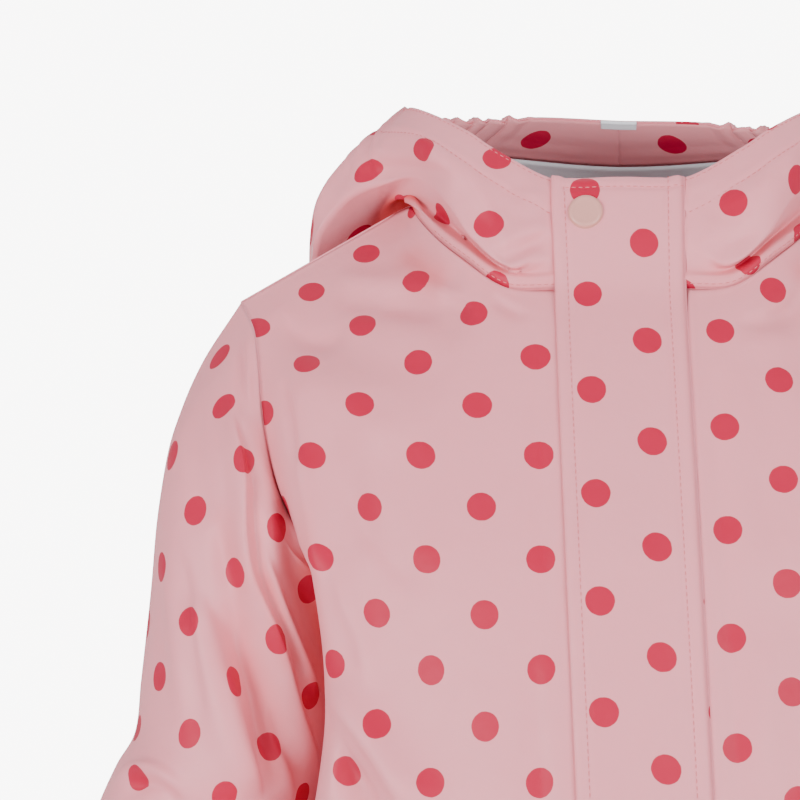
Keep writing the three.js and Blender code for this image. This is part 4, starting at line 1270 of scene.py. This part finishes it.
liningLengths = np.linspace(27.4, 82, 24)
backColumns = 52
liningLeft = innerStrip(hoodLeftGrid, liningLengths, clothWall + innerWall["gap"])[:, -backColumns - 1 :]
liningRight = innerStrip(hoodRightGrid, liningLengths, clothWall + innerWall["gap"])[:, 1 : backColumns + 1]
liningGrid = np.concatenate([liningLeft, liningRight], axis=1)
liningPattern = np.stack([arcAcross(liningGrid), -arcDown(liningGrid)], axis=-1) * mm
liningFacts = clothFacts(liningGrid, 0 * arcDown(liningGrid), ("top",))
liningInner = offsetIn(liningGrid, innerWall["lining"])
piece = addWall("hood_lining_cloth", liningGrid, liningInner, liningPattern, liningFacts, (lining, lining))
finishCloth(piece, "hood_lining")

# A short piece of woven tape, folded over the hood's edge at the centre back.
tabSize = {
    "inside": 3.4,
    "inward": 1.6,
    "outside": 7.2,
    "half": 8.0,
    "thick": 0.7,
    "off": 0.25,
    "rows": 22,
    "columns": 18,
}


def tabWall():
    outer = np.concatenate([hoodLeftGrid[:, -9:], hoodRightGrid[:, 1:9]], axis=1)
    inner = offsetIn(outer, clothWall + tabSize["inward"])
    out = []
    for j in range(outer.shape[1]):
        lengthOut = np.concatenate([[0], np.cumsum(np.linalg.norm(np.diff(outer[:, j], axis=0), axis=1))])
        lines = []
        for line, reach in ((inner, tabSize["inside"]), (outer, tabSize["outside"])):
            places = np.linspace(reach, 0, 9)
            lines.append(np.stack([np.interp(places, lengthOut, line[:, j, c]) for c in range(3)], axis=-1))
        top = (outer[0, j] + inner[0, j]) / 2 + unit(outer[0, j] - outer[3, j]) * clothWall * 0.7
        out.append(np.concatenate([lines[0], top[None], lines[1][::-1]]))
    lines = np.transpose(np.array(out), (1, 0, 2))
    places = np.linspace(-tabSize["half"], tabSize["half"], tabSize["columns"])
    out = np.zeros((len(lines), len(places), 3))
    for i, line in enumerate(lines):
        order = np.argsort(line[:, 0])
        for c in range(3):
            out[i, :, c] = np.interp(places, line[order, 0], line[order, c])
    fine = np.linspace(0, len(lines) - 1, tabSize["rows"])
    return through(np.arange(len(lines)), out, fine)


tabGrid = tabWall()
tabOut = gridNormals(tabGrid)
tabInner = tabGrid + tabOut * tabSize["off"]
tabOuter = tabInner + tabOut * tabSize["thick"]
tabPattern = np.stack([arcAcross(tabOuter), -arcDown(tabOuter)], axis=-1) * mm
tabFacts = clothFacts(tabOuter, 0 * arcDown(tabOuter), ())
tab = addWall("back_tab_tape", tabOuter, tabInner, tabPattern, tabFacts, (tabLook, tabLook))
finishCloth(tab, "back_tab")

print("stitches")
# Rows of machine stitches: how far in from an edge, in mm, on which piece, along which of its edges. part is
# the share of that edge that is sewn, from its start.
stitchRows = [
    {"grid": flapGrid, "edge": "left", "inset": stitchIn["left"], "part": (0.012, 0.995)},
    {"grid": flapGrid, "edge": "top", "inset": stitchIn["top"], "part": (0.1, 0.98)},
    {"grid": flapGrid, "edge": "right", "inset": stitchIn["seam"], "part": (0.0, 0.995)},
    {"grid": hoodLeftGrid, "edge": "top", "inset": 1.8, "part": (0.0, 1.0)},
    {"grid": hoodLeftGrid, "edge": "top", "inset": 18.4, "part": (0.0, 1.0)},
    {"grid": hoodRightGrid, "edge": "top", "inset": 1.8, "part": (0.0, 0.9)},
    {"grid": hoodRightGrid, "edge": "top", "inset": 18.4, "part": (0.0, 0.9)},
    {"grid": hoodLeftGrid, "edge": "low", "inset": 2.2, "part": (0.0, 0.4)},
    {"grid": hoodRightGrid, "edge": "low", "inset": 2.2, "part": (0.6, 0.9)},
    {"grid": frontRightGrid, "edge": "low", "inset": 15, "part": (0.0, 0.9)},
    {"grid": frontLeftGrid, "edge": "low", "inset": 15, "part": (0.0, 1.0)},
    {"grid": backGrid, "edge": "low", "inset": 15, "part": (0.0, 1.0)},
    {"grid": sleeveGrids[0], "edge": "low", "inset": 12, "part": (0.0, 1.0)},
    {"grid": sleeveGrids[1], "edge": "low", "inset": 12, "part": (0.0, 1.0)},
]
stitchSize = {"pitch": 2.9, "length": 2.0, "thick": 0.42, "proud": 0.08, "seed": 5}


def edgeLine(grid, edge, inset, part, proud):
    # Points on the cloth along one edge, at one distance from it.
    lines = grid + gridNormals(grid) * proud
    if edge in ("top", "low"):
        lines = np.transpose(lines, (1, 0, 2))
    if edge in ("right", "low"):
        lines = lines[:, ::-1]
    reach = arcAcross(lines)
    points = np.array([[np.interp(inset, r, line[:, c]) for c in range(3)] for r, line in zip(reach, lines)])
    done = np.concatenate([[0], np.cumsum(np.linalg.norm(np.diff(points, axis=0), axis=1))])
    share = done / done[-1]
    return points[(share >= part[0]) & (share <= part[1])]


def stitchTree():
    tree = bpy.data.node_groups.new("stitches", "GeometryNodeTree")
    tree.interface.new_socket(name="Geometry", in_out="INPUT", socket_type="NodeSocketGeometry")
    for label, kind, value in (
        ("Pitch", "NodeSocketFloat", 0.0029),
        ("Length", "NodeSocketFloat", 0.002),
        ("Thickness", "NodeSocketFloat", 0.0004),
        ("Seed", "NodeSocketInt", 0),
    ):
        tree.interface.new_socket(name=label, in_out="INPUT", socket_type=kind).default_value = value
    tree.interface.new_socket(name="Thread", in_out="INPUT", socket_type="NodeSocketMaterial")
    tree.interface.new_socket(name="Geometry", in_out="OUTPUT", socket_type="NodeSocketGeometry")
    start, finish = tree.nodes.new("NodeGroupInput"), tree.nodes.new("NodeGroupOutput")
    curve = tree.nodes.new("GeometryNodeMeshToCurve")
    spaced = tree.nodes.new("GeometryNodeResampleCurve")
    spaced.mode = "LENGTH"
    tangent = tree.nodes.new("GeometryNodeInputTangent")
    aim = tree.nodes.new("FunctionNodeAlignRotationToVector")
    aim.axis = "X"
    stitch = tree.nodes.new("GeometryNodeMeshUVSphere")
    stitch.inputs["Segments"].default_value = 6
    stitch.inputs["Rings"].default_value = 5
    stitch.inputs["Radius"].default_value = 0.5
    vary = tree.nodes.new("FunctionNodeRandomValue")
    vary.data_type = "FLOAT"
    vary.inputs[2].default_value = 0.88
    vary.inputs[3].default_value = 1.1
    long = mathNode(tree, "MULTIPLY", start.outputs["Length"], vary.outputs[1])
    size = tree.nodes.new("ShaderNodeCombineXYZ")
    place = tree.nodes.new("GeometryNodeInstanceOnPoints")
    real = tree.nodes.new("GeometryNodeRealizeInstances")
    smooth = tree.nodes.new("GeometryNodeSetShadeSmooth")
    paint = tree.nodes.new("GeometryNodeSetMaterial")
    for a, b in (
        (start.outputs["Geometry"], curve.inputs["Mesh"]),
        (curve.outputs["Curve"], spaced.inputs["Curve"]),
        (start.outputs["Pitch"], spaced.inputs["Length"]),
        (spaced.outputs["Curve"], place.inputs["Points"]),
        (tangent.outputs["Tangent"], aim.inputs["Vector"]),
        (aim.outputs["Rotation"], place.inputs["Rotation"]),
        (start.outputs["Seed"], vary.inputs["Seed"]),
        (long, size.inputs[0]),
        (start.outputs["Thickness"], size.inputs[1]),
        (start.outputs["Thickness"], size.inputs[2]),
        (size.outputs[0], place.inputs["Scale"]),
        (stitch.outputs["Mesh"], place.inputs["Instance"]),
        (place.outputs["Instances"], real.inputs["Geometry"]),
        (real.outputs["Geometry"], smooth.inputs["Geometry"]),
        (smooth.outputs["Geometry"], paint.inputs["Geometry"]),
        (start.outputs["Thread"], paint.inputs["Material"]),
        (paint.outputs["Geometry"], finish.inputs["Geometry"]),
    ):
        tree.links.new(a, b)
    return tree


def sewn(name, rows, size, look):
    points, edges = [], []
    for row in rows:
        line = edgeLine(row["grid"], row["edge"], row["inset"], row["part"], size["proud"])
        edges += [(len(points) + k, len(points) + k + 1) for k in range(len(line) - 1)]
        points += (line * mm).tolist()
    mesh = bpy.data.meshes.new(name)
    mesh.from_pydata(points, edges, [])
    piece = bpy.data.objects.new(name, mesh)
    bpy.context.collection.objects.link(piece)
    tree = stitchTree()
    modifier = piece.modifiers.new("stitches", "NODES")
    modifier.node_group = tree
    values = {
        "Pitch": size["pitch"] * mm,
        "Length": size["length"] * mm,
        "Thickness": size["thick"] * mm,
        "Seed": size["seed"],
        "Thread": look,
    }
    for item in tree.interface.items_tree:
        if item.item_type == "SOCKET" and item.in_out == "INPUT" and item.name in values:
            modifier[item.identifier] = values[item.name]
    made = piece.evaluated_get(bpy.context.evaluated_depsgraph_get())
    plain = bpy.data.meshes.new_from_object(made)
    piece.modifiers.clear()
    piece.data = plain
    print("stitches' faces", len(plain.polygons))
    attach(piece, "root")
    return piece


sewn("topstitching", stitchRows, stitchSize, threadLook)

print("snap")
snapSize = {"x": -14.5, "z": -12.0, "sides": 72}
spots = np.abs(flapGrid[..., 0] - snapSize["x"]) + np.abs(flapGrid[..., 2] - snapSize["z"])
spotRow, spotColumn = np.unravel_index(np.argmin(spots), spots.shape)
snapFoot = flapRaw[spotRow, spotColumn] + flapNormals[spotRow, spotColumn] * (flapShape["lift"] + 1.0)
snapWay = flapNormals[spotRow, spotColumn]
# The cap's outline from its middle to its rim: the way out and the height.
profile = [
    (0.0, 2.05), (2.5, 2.12), (4.6, 2.2), (5.6, 2.36), (6.3, 2.3),
    (6.9, 1.95), (7.25, 1.35), (7.3, 0.7), (7.0, 0.0), (0.0, 0.0),
]


def latheMesh(name, foot, way, outline, sides):
    way = Vector(way).normalized()
    turn = way.to_track_quat("Z", "Y")
    vertices, faces = [], []
    for radius, height in outline:
        for k in range(sides):
            angle = 2 * math.pi * k / sides
            point = turn @ Vector((radius * math.cos(angle), radius * math.sin(angle), height))
            vertices.append((point + Vector(foot)) * mm)
    rings = len(outline)
    for r in range(rings - 1):
        for k in range(sides):
            n = (k + 1) % sides
            faces.append((r * sides + k, (r + 1) * sides + k, (r + 1) * sides + n, r * sides + n))
    mesh = bpy.data.meshes.new(name)
    mesh.from_pydata(vertices, [], faces)
    mesh.validate()
    mesh.polygons.foreach_set("use_smooth", [True] * len(mesh.polygons))
    mesh.update()
    piece = bpy.data.objects.new(name, mesh)
    bpy.context.collection.objects.link(piece)
    return piece


fineProfile = through(np.arange(len(profile)), profile, np.linspace(0, len(profile) - 1, 46))
fineProfile[:, 0] = np.maximum(fineProfile[:, 0], 0.02)
snap = latheMesh("snap_cap_shaped", snapFoot, snapWay, fineProfile, snapSize["sides"])
snap.data.materials.append(snapLook)
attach(snap, "root")
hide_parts("snap_cap")

print("floor and light")
floorSettings = {"height": -0.62, "size": 5.0, "colour": (0.9, 0.9, 0.9)}
floorMesh = bpy.data.meshes.new("floor")
half, floorZ = floorSettings["size"] / 2, floorSettings["height"]
floorCorners = [(x * half, y * half, floorZ) for x, y in ((-1, -1), (1, -1), (1, 1), (-1, 1))]
floorMesh.from_pydata(floorCorners, [], [(0, 1, 2, 3)])
floor = bpy.data.objects.new("floor", floorMesh)
bpy.context.collection.objects.link(floor)
floorLook, floorTree, floorShader = startMaterial("floor")
floorShader.inputs["Base Color"].default_value = (*floorSettings["colour"], 1.0)
floorShader.inputs["Roughness"].default_value = 0.9
floorShader.inputs["Specular IOR Level"].default_value = 0.1
floor.data.materials.append(floorLook)

# The studio: the camera sees a plain near-white sweep, and the coat gets an even soft light from it.
studioSettings = {"sweep": 8.7, "light": 0.76, "colour": (1.0, 0.985, 0.975)}
world = bpy.data.worlds.new("studio")
bpy.context.scene.world = world
world.use_nodes = True
worldTree = world.node_tree
backdrop = worldTree.nodes["Background"]
backdrop.inputs["Color"].default_value = (*studioSettings["colour"], 1.0)
lightPath = worldTree.nodes.new("ShaderNodeLightPath")
extra = studioSettings["sweep"] - studioSettings["light"]
power = mathNode(worldTree, "MULTIPLY_ADD", lightPath.outputs["Is Camera Ray"], extra, studioSettings["light"])
worldTree.links.new(power, backdrop.inputs["Strength"])


def softBox(name, place, target, size, power):
    data = bpy.data.lights.new(name, "AREA")
    data.shape = "SQUARE"
    data.size = size
    data.energy = power
    light = bpy.data.objects.new(name, data)
    light.location = place
    light.rotation_mode = "QUATERNION"
    light.rotation_quaternion = (Vector(target) - Vector(place)).to_track_quat("-Z", "Y")
    bpy.context.collection.objects.link(light)


softBox("left", (-1.7, -2.2, -0.3), (0, 0, -0.15), 1.0, 74)
softBox("right", (1.6, -2.2, -0.05), (0, 0, -0.15), 1.2, 52)
softBox("top", (0.2, 0.6, 1.8), (0, 0, -0.05), 1.4, 12)
